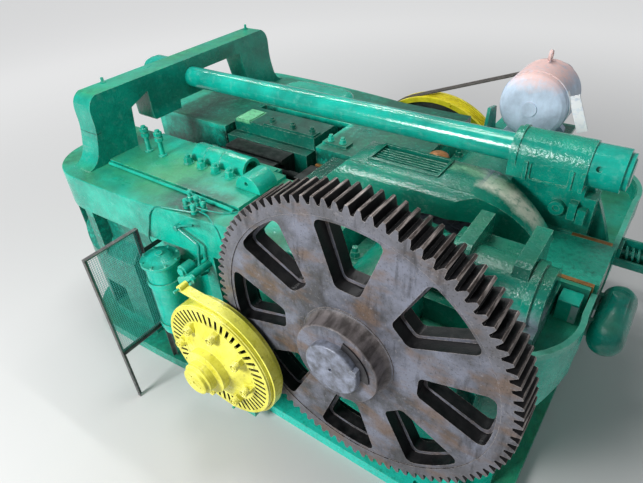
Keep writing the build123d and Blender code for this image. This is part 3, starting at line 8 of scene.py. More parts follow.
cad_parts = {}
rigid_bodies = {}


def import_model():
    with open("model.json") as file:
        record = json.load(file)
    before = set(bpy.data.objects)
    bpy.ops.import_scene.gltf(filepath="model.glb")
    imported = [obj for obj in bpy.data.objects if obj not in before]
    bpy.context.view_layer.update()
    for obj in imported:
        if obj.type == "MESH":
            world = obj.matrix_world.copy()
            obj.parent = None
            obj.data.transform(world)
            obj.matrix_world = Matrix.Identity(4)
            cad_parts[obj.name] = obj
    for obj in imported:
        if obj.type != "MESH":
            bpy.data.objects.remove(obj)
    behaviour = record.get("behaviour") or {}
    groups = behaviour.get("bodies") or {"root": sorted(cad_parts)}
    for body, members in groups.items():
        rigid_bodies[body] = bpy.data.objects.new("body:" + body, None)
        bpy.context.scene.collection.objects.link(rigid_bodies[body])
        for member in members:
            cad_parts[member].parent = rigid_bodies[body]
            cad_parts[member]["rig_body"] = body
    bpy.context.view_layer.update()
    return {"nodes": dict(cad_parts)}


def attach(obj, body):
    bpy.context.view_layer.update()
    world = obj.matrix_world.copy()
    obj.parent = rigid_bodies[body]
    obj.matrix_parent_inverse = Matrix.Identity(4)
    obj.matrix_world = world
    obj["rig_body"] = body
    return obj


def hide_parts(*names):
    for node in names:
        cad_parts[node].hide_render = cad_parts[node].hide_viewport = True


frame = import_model()
scene = bpy.context.scene
scene.view_settings.view_transform = "Standard"

# Camera. It stands high on the gear side, behind the crank end, and looks down along the machine,
# leaning a few degrees, as the photographer held it.
azimuth = radians(38.145)
elevation = radians(36.373)
lean = radians(-4.098)
forward = Vector((-sin(azimuth) * cos(elevation), cos(azimuth) * cos(elevation), -sin(elevation)))
level = forward.cross(Vector((0, 0, 1))).normalized()
raised = level.cross(forward)
right = level * cos(lean) + raised * sin(lean)
up = right.cross(forward)
camera = bpy.data.objects.new("camera", bpy.data.cameras.new("camera"))
stand = Matrix.Translation((1.424, -3.888, 4.514))
camera.matrix_world = stand @ Matrix((right, up, -forward)).transposed().to_4x4()
camera.data.lens = 29.03
camera.data.sensor_width = 36
camera.data.clip_end = 200
scene.collection.objects.link(camera)
scene.camera = camera

# Bed. One big iron casting with a rough skin under several coats of gloss green enamel, brushed on
# by hand. Its upright faces are clean and bright, its level faces hold an olive coat that is partly dust
# and oil and partly painted shade, and the hollows round the dies and the crank are painted almost black as
# shade.


def add(tree, kind, **settings):
    """A new node of that kind in the tree. A setting that names an input socket fills the socket."""
    made = tree.nodes.new(kind)
    for key, value in settings.items():
        if hasattr(made, key):
            setattr(made, key, value)
        else:
            made.inputs[key.replace("_", " ")].default_value = value
    return made


def share_of(tree, value, low, high):
    """The value as a share of the way from low to high, held between 0 and 1."""
    span = add(tree, "ShaderNodeMapRange")
    span.inputs["From Min"].default_value = low
    span.inputs["From Max"].default_value = high
    tree.links.new(value, span.inputs["Value"])
    return span.outputs["Result"]


def blotches(tree, scale, detail, low, high):
    """Soft noise of that many lumps a metre, stretched so that low becomes 0 and high becomes 1."""
    place = add(tree, "ShaderNodeTexCoord")
    noise = add(tree, "ShaderNodeTexNoise", Scale=scale, Detail=detail, Roughness=0.6)
    tree.links.new(place.outputs["Object"], noise.inputs["Vector"])
    return share_of(tree, noise.outputs["Fac"], low, high)


def streaks(tree, stretch, scale, low, high):
    """Noise drawn out along one axis: stretch is the squeeze of each axis, as brush marks and drips are."""
    place = add(tree, "ShaderNodeTexCoord")
    squeeze = add(tree, "ShaderNodeMapping", Scale=stretch)
    noise = add(tree, "ShaderNodeTexNoise", Scale=scale, Detail=4.0, Roughness=0.6)
    tree.links.new(place.outputs["Object"], squeeze.inputs["Vector"])
    tree.links.new(squeeze.outputs[0], noise.inputs["Vector"])
    return share_of(tree, noise.outputs["Fac"], low, high)


def mixed(tree, share, a, b):
    """Colour a where the share, a socket, is 0 and b where it is 1. a and b are colours or sockets."""
    blend = add(tree, "ShaderNodeMix", data_type="RGBA")
    sockets = [s for s in blend.inputs if s.type == "RGBA"]
    for socket, value in zip(sockets, (a, b)):
        if isinstance(value, tuple):
            socket.default_value = (*value, 1)
        else:
            tree.links.new(value, socket)
    factor = [s for s in blend.inputs if s.name == "Factor" and s.type == "VALUE"][0]
    tree.links.new(share, factor)
    return [s for s in blend.outputs if s.type == "RGBA"][0]


def sums(tree, how, a, b):
    """a and b joined by the named sum and held between 0 and 1. Each is a number or a socket."""
    made = add(tree, "ShaderNodeMath", operation=how, use_clamp=True)
    for socket, value in zip(made.inputs, (a, b)):
        if isinstance(value, (int, float)):
            socket.default_value = value
        else:
            tree.links.new(value, socket)
    return made.outputs[0]


def times(tree, a, b):
    """a times b, held between 0 and 1."""
    return sums(tree, "MULTIPLY", a, b)


def plus(tree, a, b):
    """a plus b, held between 0 and 1."""
    return sums(tree, "ADD", a, b)


def uneven(tree, scale, spread, base):
    """A roughness of the base value that rises by up to the spread in soft lumps."""
    return plus(tree, times(tree, blotches(tree, scale, 4.0, 0.3, 0.7), spread), base)


def facing(tree, axis, low, high):
    """How far a face looks along the named axis, as a share of the way from low to high."""
    shape = add(tree, "ShaderNodeNewGeometry")
    split = add(tree, "ShaderNodeSeparateXYZ")
    tree.links.new(shape.outputs["Normal"], split.inputs[0])
    return share_of(tree, split.outputs[axis], low, high)


def edges_of(tree, reach):
    """1 near the object's sharp edges: how far a softened normal leans from the true one, times 6."""
    softened = add(tree, "ShaderNodeBevel", samples=4, Radius=reach)
    shape = add(tree, "ShaderNodeNewGeometry")
    dot = add(tree, "ShaderNodeVectorMath", operation="DOT_PRODUCT")
    tree.links.new(softened.outputs[0], dot.inputs[0])
    tree.links.new(shape.outputs["Normal"], dot.inputs[1])
    gain = add(tree, "ShaderNodeMath", operation="MULTIPLY_ADD", use_clamp=True)
    tree.links.new(dot.outputs["Value"], gain.inputs[0])
    gain.inputs[1].default_value = -6
    gain.inputs[2].default_value = 6
    return gain.outputs[0]


def within(tree, low, high, soft):
    """1 inside the box from low to high, 0 outside it: the distance out past the nearest side against
    the soft width. Noise moves each place by 0 to 3 soft widths, so the box is moved by half of that."""
    middle = [(a + b) / 2 for a, b in zip(low, high)]
    half = [(b - a) / 2 for a, b in zip(low, high)]
    place = add(tree, "ShaderNodeTexCoord")
    ragged = add(tree, "ShaderNodeTexNoise", Scale=9.0, Detail=4.0, Roughness=0.65)
    tree.links.new(place.outputs["Object"], ragged.inputs["Vector"])
    shake = add(tree, "ShaderNodeVectorMath", operation="MULTIPLY_ADD")
    tree.links.new(ragged.outputs["Color"], shake.inputs[0])
    shake.inputs[1].default_value = (3 * soft,) * 3
    tree.links.new(place.outputs["Object"], shake.inputs[2])
    moved = add(tree, "ShaderNodeVectorMath", operation="SUBTRACT")
    tree.links.new(shake.outputs[0], moved.inputs[0])
    moved.inputs[1].default_value = [m + 1.5 * soft for m in middle]
    size = add(tree, "ShaderNodeVectorMath", operation="ABSOLUTE")
    tree.links.new(moved.outputs[0], size.inputs[0])
    past = add(tree, "ShaderNodeVectorMath", operation="SUBTRACT")
    tree.links.new(size.outputs[0], past.inputs[0])
    past.inputs[1].default_value = half
    split = add(tree, "ShaderNodeSeparateXYZ")
    tree.links.new(past.outputs[0], split.inputs[0])
    most = add(tree, "ShaderNodeMath", operation="MAXIMUM")
    tree.links.new(split.outputs[0], most.inputs[0])
    tree.links.new(split.outputs[1], most.inputs[1])
    furthest = add(tree, "ShaderNodeMath", operation="MAXIMUM")
    tree.links.new(most.outputs[0], furthest.inputs[0])
    tree.links.new(split.outputs[2], furthest.inputs[1])
    return share_of(tree, furthest.outputs[0], soft, -soft)


def bumps(tree, layers):
    """A normal from layers of noise, each (lumps a metre, height in metres)."""
    normal = None
    place = add(tree, "ShaderNodeTexCoord")
    for scale, height in layers:
        noise = add(tree, "ShaderNodeTexNoise", Scale=scale, Detail=3.0, Roughness=0.55)
        tree.links.new(place.outputs["Object"], noise.inputs["Vector"])
        bump = add(tree, "ShaderNodeBump", Strength=1.0, Distance=height)
        tree.links.new(noise.outputs["Fac"], bump.inputs["Height"])
        if normal is not None:
            tree.links.new(normal, bump.inputs["Normal"])
        normal = bump.outputs[0]
    return normal


def surface_of(name, colour, rough, normal, **fixed):
    """A material whose colour, roughness and normal are made by the functions given, each from the tree."""
    material = bpy.data.materials.new(name)
    material.use_nodes = True
    tree = material.node_tree
    shader = tree.nodes["Principled BSDF"]
    tree.links.new(colour(tree), shader.inputs["Base Color"])
    tree.links.new(rough(tree), shader.inputs["Roughness"])
    bumped = normal(tree)
    tree.links.new(bumped, shader.inputs["Normal"])
    tree.links.new(bumped, shader.inputs["Coat Normal"])
    for key, value in fixed.items():
        shader.inputs[key.replace("_", " ")].default_value = value
    return material


def enamel(name, colour, top_dust_and_painted_light=(0.030, 0.25, 0.10), top_dust_and_painted_light_share=0.75, lumps=1.0, edge_wear_and_highlight=0.45, gloss=0.20,
           coat=0.15, patches=()):
    """Brushed gloss enamel over a casting. The tone drifts and carries upright brush marks, level faces take
    a top colour that is partly dust and oil and partly painted light and shade, and edges are made pale,
    partly as wear and partly as painted highlight. Lumps scales the casting's skin, the argument after it the
    pale edges, gloss is the roughness and coat the clear layer. Each patch is (low, high, soft, colour,
    share): a colour of its own inside that box; some are stains and some are painted shade or painted light."""
    dark = tuple(0.55 * c for c in colour)
    pale = tuple(min(1, 0.75 * c + 0.20) for c in colour)

    def dust_and_painted_light_on_top(tree):
        """How much of the top colour lies here, dust and painted light and shade: level faces only, and in
        drifts.
        """
        on_level_faces = times(tree, facing(tree, "Z", 0.70, 0.97), blotches(tree, 2.1, 6.0, 0.30, 0.60))
        return times(tree, on_level_faces, top_dust_and_painted_light_share)

    def colours(tree):
        """The coats in turn: tone, brush marks, the top colour of dust and painted light, patches, pale edges
        of wear and painted highlight, and specks.
        """
        tone = mixed(tree, blotches(tree, 3.1, 6.0, 0.32, 0.62), dark, colour)
        marks = times(tree, streaks(tree, (1, 1, 0.12), 38.0, 0.45, 0.8), 0.30)
        brushed = mixed(tree, marks, tone, dark)
        bright = mixed(tree, times(tree, blotches(tree, 17.0, 4.0, 0.55, 0.75), 0.30), brushed, pale)
        # The top colour on level faces: partly dust and oil, partly painted shade or light on the faces
        # looking up.
        olive = mixed(tree, blotches(tree, 14.0, 5.0, 0.35, 0.7), top_dust_and_painted_light, tuple(0.45 * c for c in top_dust_and_painted_light))
        coated = mixed(tree, dust_and_painted_light_on_top(tree), bright, olive)
        for low, high, soft, stain, share in patches:
            spread = times(tree, within(tree, low, high, soft), share)
            broken = times(tree, spread, blotches(tree, 21.0, 5.0, 0.22, 0.5))
            coated = mixed(tree, broken, coated, stain)
        # Pale edges: partly paint worn through and partly a painted highlight along each edge.
        pale_edge_share = times(tree, edges_of(tree, 0.011), blotches(tree, 24.0, 3.0, 0.44, 0.58))
        edges_worn_and_highlit = mixed(tree, times(tree, pale_edge_share, edge_wear_and_highlight), coated, (0.42, 0.66, 0.52))
        specks = times(tree, blotches(tree, 110.0, 2.0, 0.69, 0.73), 0.7 * edge_wear_and_highlight)
        return mixed(tree, specks, edges_worn_and_highlit, (0.36, 0.52, 0.42))

    def roughs(tree):
        """Glossy paint, dulled in soft lumps and where the top colour lies."""
        base = plus(tree, times(tree, blotches(tree, 9.0, 4.0, 0.35, 0.75), 0.14), gloss)
        return plus(tree, base, times(tree, dust_and_painted_light_on_top(tree), 0.30))

    skin = ((6.0, 0.0045 * lumps), (48.0, 0.0034 * lumps), (130.0, 0.0010 * lumps))
    return surface_of(name, colours, roughs, lambda tree: bumps(tree, skin),
                      Specular_IOR_Level=0.42, Coat_Weight=coat, Coat_Roughness=0.06)


GREEN = (0.004, 0.50, 0.36)
BLACK_GREEN = (0.004, 0.030, 0.022)
bed_paint = enamel("bed_enamel", GREEN, patches=(
    # Painted shade: the hollows round the dies and under the deck, painted near black.
    ((-2.95, -0.56, 0.70), (-1.62, 0.74, 2.03), 0.03, BLACK_GREEN, 0.92),
    ((-1.70, -0.66, 1.20), (0.60, 0.06, 2.03), 0.03, BLACK_GREEN, 0.92),
    ((-3.98, -0.57, 1.40), (-2.85, -0.03, 2.02), 0.03, BLACK_GREEN, 0.80),
    ((-0.62, -0.64, 1.10), (0.62, 1.10, 1.76), 0.03, BLACK_GREEN, 0.75),
    # Painted shade and dark reflection on the far deck.
    ((-3.40, 0.72, 2.05), (-0.50, 1.60, 2.30), 0.03, (0.010, 0.11, 0.070), 0.80),
    ((-1.60, 0.02, 2.00), (-0.40, 1.60, 2.30), 0.03, (0.010, 0.09, 0.06), 0.85),
    ((-3.10, -1.50, 2.05), (-2.30, -0.85, 2.20), 0.10, (0.05, 0.36, 0.13), 0.55),
    ((-2.30, -1.56, 2.00), (-1.60, -1.20, 2.20), 0.06, (0.010, 0.09, 0.06), 0.80),
    ((0.60, -1.60, 1.86), (1.40, 1.60, 1.95), 0.01, (0.10, 0.46, 0.34), 0.65),
    ((-2.14, -1.57, 2.05), (-1.70, -1.33, 2.20), 0.03, BLACK_GREEN, 0.85),
    # Painted reflections: darker green on the deck before the yoke's foot and on the pads, mirroring the
    # yoke.
    ((-3.25, -1.60, 2.05), (-2.30, -1.36, 2.09), 0.04, (0.006, 0.17, 0.10), 0.65),
    ((-3.32, -1.27, 2.05), (-2.85, -0.85, 2.20), 0.05, (0.010, 0.20, 0.12), 0.55),
    # Painted shade on the far side of the die hollow.
    ((-3.86, 0.00, 1.40), (-2.72, 1.22, 2.30), 0.03, (0.006, 0.075, 0.05), 0.85),
    # Painted light: a bright turquoise band on the base flange's near side.
    ((-2.20, -2.30, -0.10), (1.60, -1.46, 0.30), 0.02, (0.02, 0.66, 0.54), 0.75),
    ((-1.50, -1.54, 0.20), (1.42, -1.40, 1.55), 0.03, (0.004, 0.27, 0.20), 0.5),
    ((-1.62, -1.30, 2.05), (-0.90, -0.80, 2.20), 0.03, (0.05, 0.48, 0.33), 0.5),
    # Painted shadow along the bed's foot by the guard, and the near side behind the guard made darker.
    ((-4.30, -1.90, -0.1), (-2.20, -1.30, 0.42), 0.10, (0.010, 0.13, 0.09), 0.75),
    ((-4.30, -1.80, 0.30), (-2.60, -1.20, 1.66), 0.05, (0.005, 0.115, 0.085), 0.85)))


def joined_copy(node, rounding, material, angle=33):
    """The CAD node's own shape as one joined mesh, standing for the node. Edges sharper than the angle
    are rounded by that width."""
    mesh = frame["nodes"][node].data.copy()
    work = bmesh.new()
    work.from_mesh(mesh)
    bmesh.ops.remove_doubles(work, verts=work.verts, dist=2e-5)
    bmesh.ops.dissolve_limit(work, angle_limit=radians(0.6), verts=work.verts, edges=work.edges)
    work.to_mesh(mesh)
    work.free()
    mesh.materials.clear()
    mesh.materials.append(material)
    mesh.shade_smooth()
    mesh.set_sharp_from_angle(angle=radians(angle))
    piece = bpy.data.objects.new(node + "_finished", mesh)
    scene.collection.objects.link(piece)
    if rounding:
        bevel = piece.modifiers.new("rounding", "BEVEL")
        bevel.width = rounding
        bevel.segments = 2
        bevel.limit_method = "ANGLE"
        bevel.angle_limit = radians(angle)
        bevel.harden_normals = True
    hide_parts(node)
    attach(piece, frame["nodes"][node]["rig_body"])
    return piece


joined_copy("bed_frame", 0.009, bed_paint)

# Yoke and tie bar. The yoke is a heavy cast frame keyed across the bed's front end, and the forged bar
# ties it to the anchor over the crank. Turned nuts and the anchor's barrel are painted with the rest.


def woven(name, rings, material, body):
    """A closed skin over rings of points, an array (rings, points, 3): four-sided faces between each
    ring and the next, and a fan to the middle of the first and the last."""
    count, around = rings.shape[:2]
    index = np.arange(count * around).reshape(count, around)
    after = np.roll(index, -1, axis=1)
    quads = np.stack([index[:-1], after[:-1], after[1:], index[1:]], axis=-1).reshape(-1, 4)
    first, last = count * around, count * around + 1
    start = np.stack([after[0], index[0], np.full(around, first)], axis=-1)
    end = np.stack([index[-1], after[-1], np.full(around, last)], axis=-1)
    places = np.concatenate([rings.reshape(-1, 3), rings[:1].mean(axis=1), rings[-1:].mean(axis=1)])
    mesh = bpy.data.meshes.new(name)
    mesh.from_pydata(places.tolist(), [], quads.tolist() + start.tolist() + end.tolist())
    work = bmesh.new()
    work.from_mesh(mesh)
    bmesh.ops.recalc_face_normals(work, faces=work.faces)
    work.to_mesh(mesh)
    work.free()
    mesh.materials.append(material)
    mesh.shade_smooth()
    mesh.set_sharp_from_angle(angle=radians(40))
    piece = bpy.data.objects.new(name, mesh)
    scene.collection.objects.link(piece)
    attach(piece, body)
    return piece


def turned(name, profile, foot, along, material, body, sides=24):
    """A turned piece: each (height, radius) of the profile is a ring square to the line from the foot."""
    line = np.array(along, float) / np.linalg.norm(along)
    side = np.cross(line, (0.31, 0.22, 0.93))
    side = side / np.linalg.norm(side)
    rise = np.cross(line, side)
    turn = np.linspace(0, 2 * np.pi, sides, endpoint=False)[None, :, None]
    height, radius = np.array(profile, float).T[:, :, None, None]
    rings = np.array(foot) + height * line + radius * (np.cos(turn) * side + np.sin(turn) * rise)
    return woven(name, rings, material, body)


yoke_paint = enamel("yoke_enamel", (0.003, 0.36, 0.26), lumps=0.7, top_dust_and_painted_light=(0.03, 0.36, 0.16), patches=(
    # Painted shade: the darker patch on the yoke's upper face round the tie bar.
    ((-3.66, -0.80, 2.40), (-3.20, 0.70, 2.75), 0.05, (0.004, 0.15, 0.105), 0.6),
    ((-3.70, -1.80, 2.405), (-3.30, -1.30, 2.413), 0.003, BLACK_GREEN, 0.9),))
joined_copy("arch_yoke", 0.018, yoke_paint)
nut_and_stud = ((-0.01, 0.030), (0.012, 0.030), (0.013, 0.016), (0.052, 0.016), (0.057, 0.012))
for n, foot in enumerate(((-3.57, -0.98, 2.786), (-3.57, 1.20, 2.797))):
    turned(f"yoke_stud_{n + 1}", nut_and_stud, foot, (0, 0, 1), yoke_paint, "machine", 6)
bar_paint = enamel("bar_enamel", (0.005, 0.43, 0.33), lumps=0.35, edge_wear_and_highlight=0.2, gloss=0.12, coat=0.4,
                   top_dust_and_painted_light=(0.02, 0.34, 0.22), top_dust_and_painted_light_share=0.2)
for node, rounding in {"tie_bar": 0.004, "front_nut": 0.008, "rear_nut": 0.008}.items():
    joined_copy(node, rounding, bar_paint)
anchor_paint = enamel("anchor_enamel", (0.004, 0.36, 0.26), lumps=1.2, gloss=0.13, coat=0.3,
                      top_dust_and_painted_light_share=0.35, patches=(
    ((0.40, -0.10, 1.70), (1.30, 0.30, 2.05), 0.04, (0.010, 0.14, 0.09), 0.7),))
joined_copy("bar_anchor", 0.012, anchor_paint)

# Bull gear. A cast spur gear with cut teeth. Its faces are bare grey iron with rust bloom, the walls of its
# windows and tooth gaps are near black, and the tooth tips are bright, partly rubbed and partly painted
# glints. The crankshaft, rod and pinion are machined steel.
CRANK = (0, 1.74)
RIM_INSIDE, RIM_STEP = 1.03, 1.12
TIPS_FROM, TIPS_FULL = 1.2125, 1.2155
HUB_SIDE, HUB_END = 0.372, 0.382


def off_axis(tree, axis, low, high):
    """How far a place lies from the line along Y through the axis, x and z, as a share of the way from
    low to high."""
    place = add(tree, "ShaderNodeTexCoord")
    moved = add(tree, "ShaderNodeVectorMath", operation="SUBTRACT")
    tree.links.new(place.outputs["Object"], moved.inputs[0])
    moved.inputs[1].default_value = (axis[0], 0, axis[1])
    flat = add(tree, "ShaderNodeVectorMath", operation="MULTIPLY")
    tree.links.new(moved.outputs[0], flat.inputs[0])
    flat.inputs[1].default_value = (1, 0, 1)
    size = add(tree, "ShaderNodeVectorMath", operation="LENGTH")
    tree.links.new(flat.outputs[0], size.inputs[0])
    return share_of(tree, size.outputs["Value"], low, high)


def gear_colour(tree):
    """Mottled iron on the two faces, streaked by rust and oil, near black on the walls of the windows and
    tooth gaps, turned marks round the hub, and tooth tips bright from rubbing and painted glints."""
    face = mixed(tree, blotches(tree, 4.0, 7.0, 0.38, 0.60), (0.062, 0.063, 0.070), (0.172, 0.184, 0.232))
    near_rim = times(tree, off_axis(tree, CRANK, RIM_INSIDE, RIM_STEP), 0.6)
    rim = mixed(tree, near_rim, face, (0.115, 0.112, 0.120))
    smears = times(tree, streaks(tree, (0.5, 1, 1), 6.0, 0.50, 0.66), 0.65)
    rusty = mixed(tree, smears, rim, (0.150, 0.090, 0.052))
    runs = times(tree, streaks(tree, (1, 1, 0.2), 13.0, 0.54, 0.70), 0.7)
    oiled = mixed(tree, runs, rusty, (0.018, 0.017, 0.019))
    scuffs = times(tree, blotches(tree, 38.0, 5.0, 0.60, 0.72), 0.6)
    scuffed = mixed(tree, scuffs, oiled, (0.24, 0.23, 0.24))
    pits = times(tree, blotches(tree, 75.0, 3.0, 0.58, 0.70), 0.6)
    pitted = mixed(tree, pits, scuffed, (0.03, 0.027, 0.026))
    # Tooth tips: rubbed metal with painted glints.
    rubbed_and_glinting = streaks(tree, (1, 0.12, 1), 42.0, 0.46, 0.70)
    tips = mixed(tree, rubbed_and_glinting, (0.050, 0.037, 0.032), (0.46, 0.40, 0.37))
    # Near black on the walls of the windows and tooth gaps.
    near_black_walls = mixed(tree, blotches(tree, 12.0, 5.0, 0.4, 0.7), (0.005, 0.005, 0.006), (0.019, 0.018, 0.019))
    turned_marks = streaks(tree, (1, 0.3, 1), 16.0, 0.38, 0.62)
    hub = mixed(tree, turned_marks, (0.060, 0.052, 0.050), (0.170, 0.150, 0.150))
    inner = mixed(tree, off_axis(tree, CRANK, HUB_SIDE, HUB_END), hub, near_black_walls)
    sides = mixed(tree, off_axis(tree, CRANK, TIPS_FROM, TIPS_FULL), inner, tips)
    outward = plus(tree, facing(tree, "Y", -0.6, -0.9), facing(tree, "Y", 0.6, 0.9))
    whole = mixed(tree, outward, sides, pitted)
    pale_edge_share = times(tree, edges_of(tree, 0.006), blotches(tree, 30.0, 3.0, 0.36, 0.55))
    return mixed(tree, times(tree, pale_edge_share, 0.8), whole, (0.42, 0.38, 0.36))


gear_iron = surface_of(
    "gear_iron", gear_colour,
    lambda tree: uneven(tree, 12.0, 0.30, 0.30),
    lambda tree: bumps(tree, ((9.0, 0.004), (52.0, 0.0022), (190.0, 0.0006))),
    Metallic=0.1, Specular_IOR_Level=0.35)
joined_copy("bull_gear", 0.003, gear_iron)


def bare_metal(name, dark, bright, rough, metallic):
    """Bare metal whose tone runs from dark to bright in soft patches, with fine scratches of its own."""
    rubbed_and_glinting = tuple(min(0.7, 2.2 * c + 0.08) for c in bright)
    return surface_of(
        name, lambda tree: mixed(tree, times(tree, edges_of(tree, 0.005), 0.6),
                                 mixed(tree, blotches(tree, 14.0, 6.0, 0.35, 0.68), dark, bright), rubbed_and_glinting),
        lambda tree: uneven(tree, 45.0, 0.22, rough),
        lambda tree: bumps(tree, ((12.0, 0.0012), (90.0, 0.0006))), Metallic=metallic)


shaft_iron = bare_metal("shaft_iron", (0.085, 0.090, 0.105), (0.27, 0.30, 0.39), 0.30, metallic=0.2)
for node, rounding in {"crankshaft": 0.004, "gear_key": 0.002, "pinion": 0.002, "pitman": 0.008,
                       "pitman_cap": 0.006}.items():
    joined_copy(node, rounding, shaft_iron)
oily_iron = bare_metal("oily_iron", (0.010, 0.010, 0.012), (0.045, 0.043, 0.046), 0.28, metallic=0.2)
joined_copy("key_keeper", 0.002, oily_iron)
screw_head = ((-0.02, 0.034), (0.040, 0.034), (0.047, 0.028))
turned("keeper_screw", screw_head, (0.181, -2.038, 1.818), (0, -1, 0), shaft_iron, "crank_train", 6)

# Crank bearings. Cast caps studded down over bronze half bushes. The near cap carries the long barrel
# with its two cross ribs. Oil and dust have stained the barrel's rear end.
cap_paint = enamel("cap_enamel", (0.004, 0.26, 0.18), lumps=1.2, edge_wear_and_highlight=0.6, gloss=0.14, coat=0.25,
                   top_dust_and_painted_light_share=0.4, patches=(
    ((0.85, -1.35, 1.75), (1.10, -0.95, 2.05), 0.06, (0.40, 0.38, 0.50), 0.6),
    ((0.30, -1.10, 2.20), (1.00, -0.70, 2.34), 0.06, (0.03, 0.25, 0.15), 0.6),
    ((-0.60, -0.90, 1.70), (0.40, -0.60, 1.90), 0.05, BLACK_GREEN, 0.6)))
for node, rounding in {"crank_cap_near": 0.012, "crank_cap_far": 0.012, "cap_nuts": 0.002}.items():
    joined_copy(node, rounding, cap_paint)
bronze = bare_metal("bronze", (0.26, 0.11, 0.030), (0.46, 0.22, 0.065), 0.34, metallic=0.35)
for node in ("crank_bush_near", "crank_bush_far", "way_liners", "tail_gib_near", "tail_gib_far"):
    joined_copy(node, 0.002, bronze)
keeper_paint = enamel("keeper_enamel", (0.01, 0.52, 0.38), lumps=0.5, top_dust_and_painted_light_share=0.2, patches=(
    ((1.178, -0.83, 1.70), (1.24, -0.62, 1.90), 0.004, (0.62, 0.62, 0.66), 1.0),))
joined_copy("gib_keeper", 0.005, keeper_paint)

# Header slide. One casting that runs from the punches over the crank to the tail in its gibs. Its hood
# is thick with gloss paint, and the arm behind it is grey with settled dust.
header_paint = enamel("header_enamel", (0.003, 0.23, 0.150), lumps=1.4, edge_wear_and_highlight=0.5, gloss=0.11, coat=0.4,
                      top_dust_and_painted_light=(0.012, 0.16, 0.09), top_dust_and_painted_light_share=0.35, patches=(
    ((0.26, -0.36, 2.02), (0.90, -0.17, 2.42), 0.045, (0.62, 0.65, 0.53), 1.0),
    ((-0.02, -0.26, 2.30), (0.45, -0.15, 2.45), 0.05, (0.20, 0.40, 0.24), 0.8),
    # Painted light: the lighter patch on the tail, where it lies in shade.
    ((0.72, -0.75, 1.80), (1.45, 0.10, 2.12), 0.03, (0.02, 0.44, 0.30), 0.9),
    ((-1.42, -0.62, 1.30), (-1.10, 0.02, 2.10), 0.04, BLACK_GREEN, 0.7)))
joined_copy("header_slide", 0.014, header_paint)
grate_paint = enamel("grating_enamel", (0.003, 0.15, 0.10), lumps=0.6, edge_wear_and_highlight=0.35, coat=0.5, top_dust_and_painted_light_share=0.2)
joined_copy("hood_grating", 0.002, grate_paint)
tool_steel = bare_metal("tool_steel", (0.012, 0.017, 0.015), (0.055, 0.064, 0.060), 0.30, metallic=0.4)
for node in ("wrist_pin", "tool_holder", "punches", "stationary_die", "moving_die"):
    joined_copy(node, 0.003, tool_steel)

# Die slide and its keeper strip. The block is painted dark green, darker still on its level faces,
# except for the pale pad in front.
die_paint = enamel("die_slide_enamel", (0.003, 0.16, 0.11), top_dust_and_painted_light=(0.012, 0.075, 0.05), top_dust_and_painted_light_share=0.9,
                   patches=(
    ((-2.86, 0.05, 2.10), (-2.64, 0.42, 2.20), 0.01, (0.16, 0.55, 0.28), 0.9),))
for node, rounding in {"die_slide": 0.006, "slide_bolts": 0.002}.items():
    joined_copy(node, rounding, die_paint)

# Clamp sleeve, boss, bolts and studs on the near deck, and the cover on the far deck. Turned and cast
# fittings, bolted down, under bright thick paint.
fitting_paint = enamel("fitting_enamel", (0.006, 0.50, 0.36), lumps=0.8, edge_wear_and_highlight=0.5, top_dust_and_painted_light_share=0.3,
                       gloss=0.12, coat=0.4)
for node, rounding in {"clamp_sleeve": 0.005, "deck_boss": 0.006, "die_bolts": 0.002, "deck_studs": 0.002,
                       "toggle_cover": 0.006}.items():
    joined_copy(node, rounding, fitting_paint)

# Drive shaft, flywheel, belts and motor. The flywheel's rim is yellow and its inside is dark grey. The
# motor's cast frame is pale satin blue, and the pink on its top is painted warm light.
DRIVE = (-1.2305, 1.0523)
WHEEL_RIM = 0.900
PAINT_EDGE = 0.006
joined_copy("drive_shaft", 0.003, shaft_iron)
for node in ("drive_bearing_near", "drive_bearing_far"):
    joined_copy(node, 0.005, cap_paint)


def wheel_colour(tree):
    """Yellow on the flywheel's rim and dark grey inside it."""
    yellow = mixed(tree, blotches(tree, 6.0, 5.0, 0.35, 0.65), (0.62, 0.52, 0.015), (0.88, 0.78, 0.03))
    grey = mixed(tree, blotches(tree, 6.0, 5.0, 0.35, 0.65), (0.025, 0.026, 0.024), (0.075, 0.075, 0.070))
    return mixed(tree, off_axis(tree, DRIVE, WHEEL_RIM, WHEEL_RIM + PAINT_EDGE), grey, yellow)


wheel_paint = surface_of("wheel_paint", wheel_colour,
                         lambda tree: uneven(tree, 20.0, 0.2, 0.22),
                         lambda tree: bumps(tree, ((15.0, 0.003), (80.0, 0.0008))), Specular_IOR_Level=0.4)
joined_copy("flywheel", 0.004, wheel_paint)
rubber = bare_metal("rubber", (0.030, 0.027, 0.024), (0.085, 0.075, 0.065), 0.55, metallic=0.0)
joined_copy("v_belts", 0, rubber)
joined_copy("motor_rotor", 0.002, shaft_iron)
# Painted light: the pink top colour and the pink patch over the motor's top are warm light painted on.
motor_paint = enamel("motor_enamel", (0.60, 0.72, 0.88), top_dust_and_painted_light=(0.66, 0.50, 0.47), top_dust_and_painted_light_share=0.85, lumps=0.15,
                     edge_wear_and_highlight=0.25, gloss=0.46, coat=0.0, patches=(
    ((-0.35, 0.90, 2.66), (0.65, 2.40, 3.40), 0.06, (0.74, 0.50, 0.46), 0.9),
    ((0.44, 1.28, 2.15), (0.75, 1.33, 2.62), 0.002, (0.85, 0.85, 0.86), 1.0),))
joined_copy("motor_body", 0.003, motor_paint, angle=24)
joined_copy("motor_bracket", 0.004, anchor_paint)

# Brake. A slotted cast drum and its bent steel strap under lemon yellow gloss, with painted shade in the
# slots and inside the drum, and the hub's nuts and lugs pale at their edges, partly as wear and partly as
# painted highlight.
DISC_FRONT = -2.078
SLOTS_FROM, SLOTS_TO = 0.430, 0.575
STUD_CIRCLE = 0.380
STRAP_FRONT, STRAP_WIDTH = -2.042, 0.090


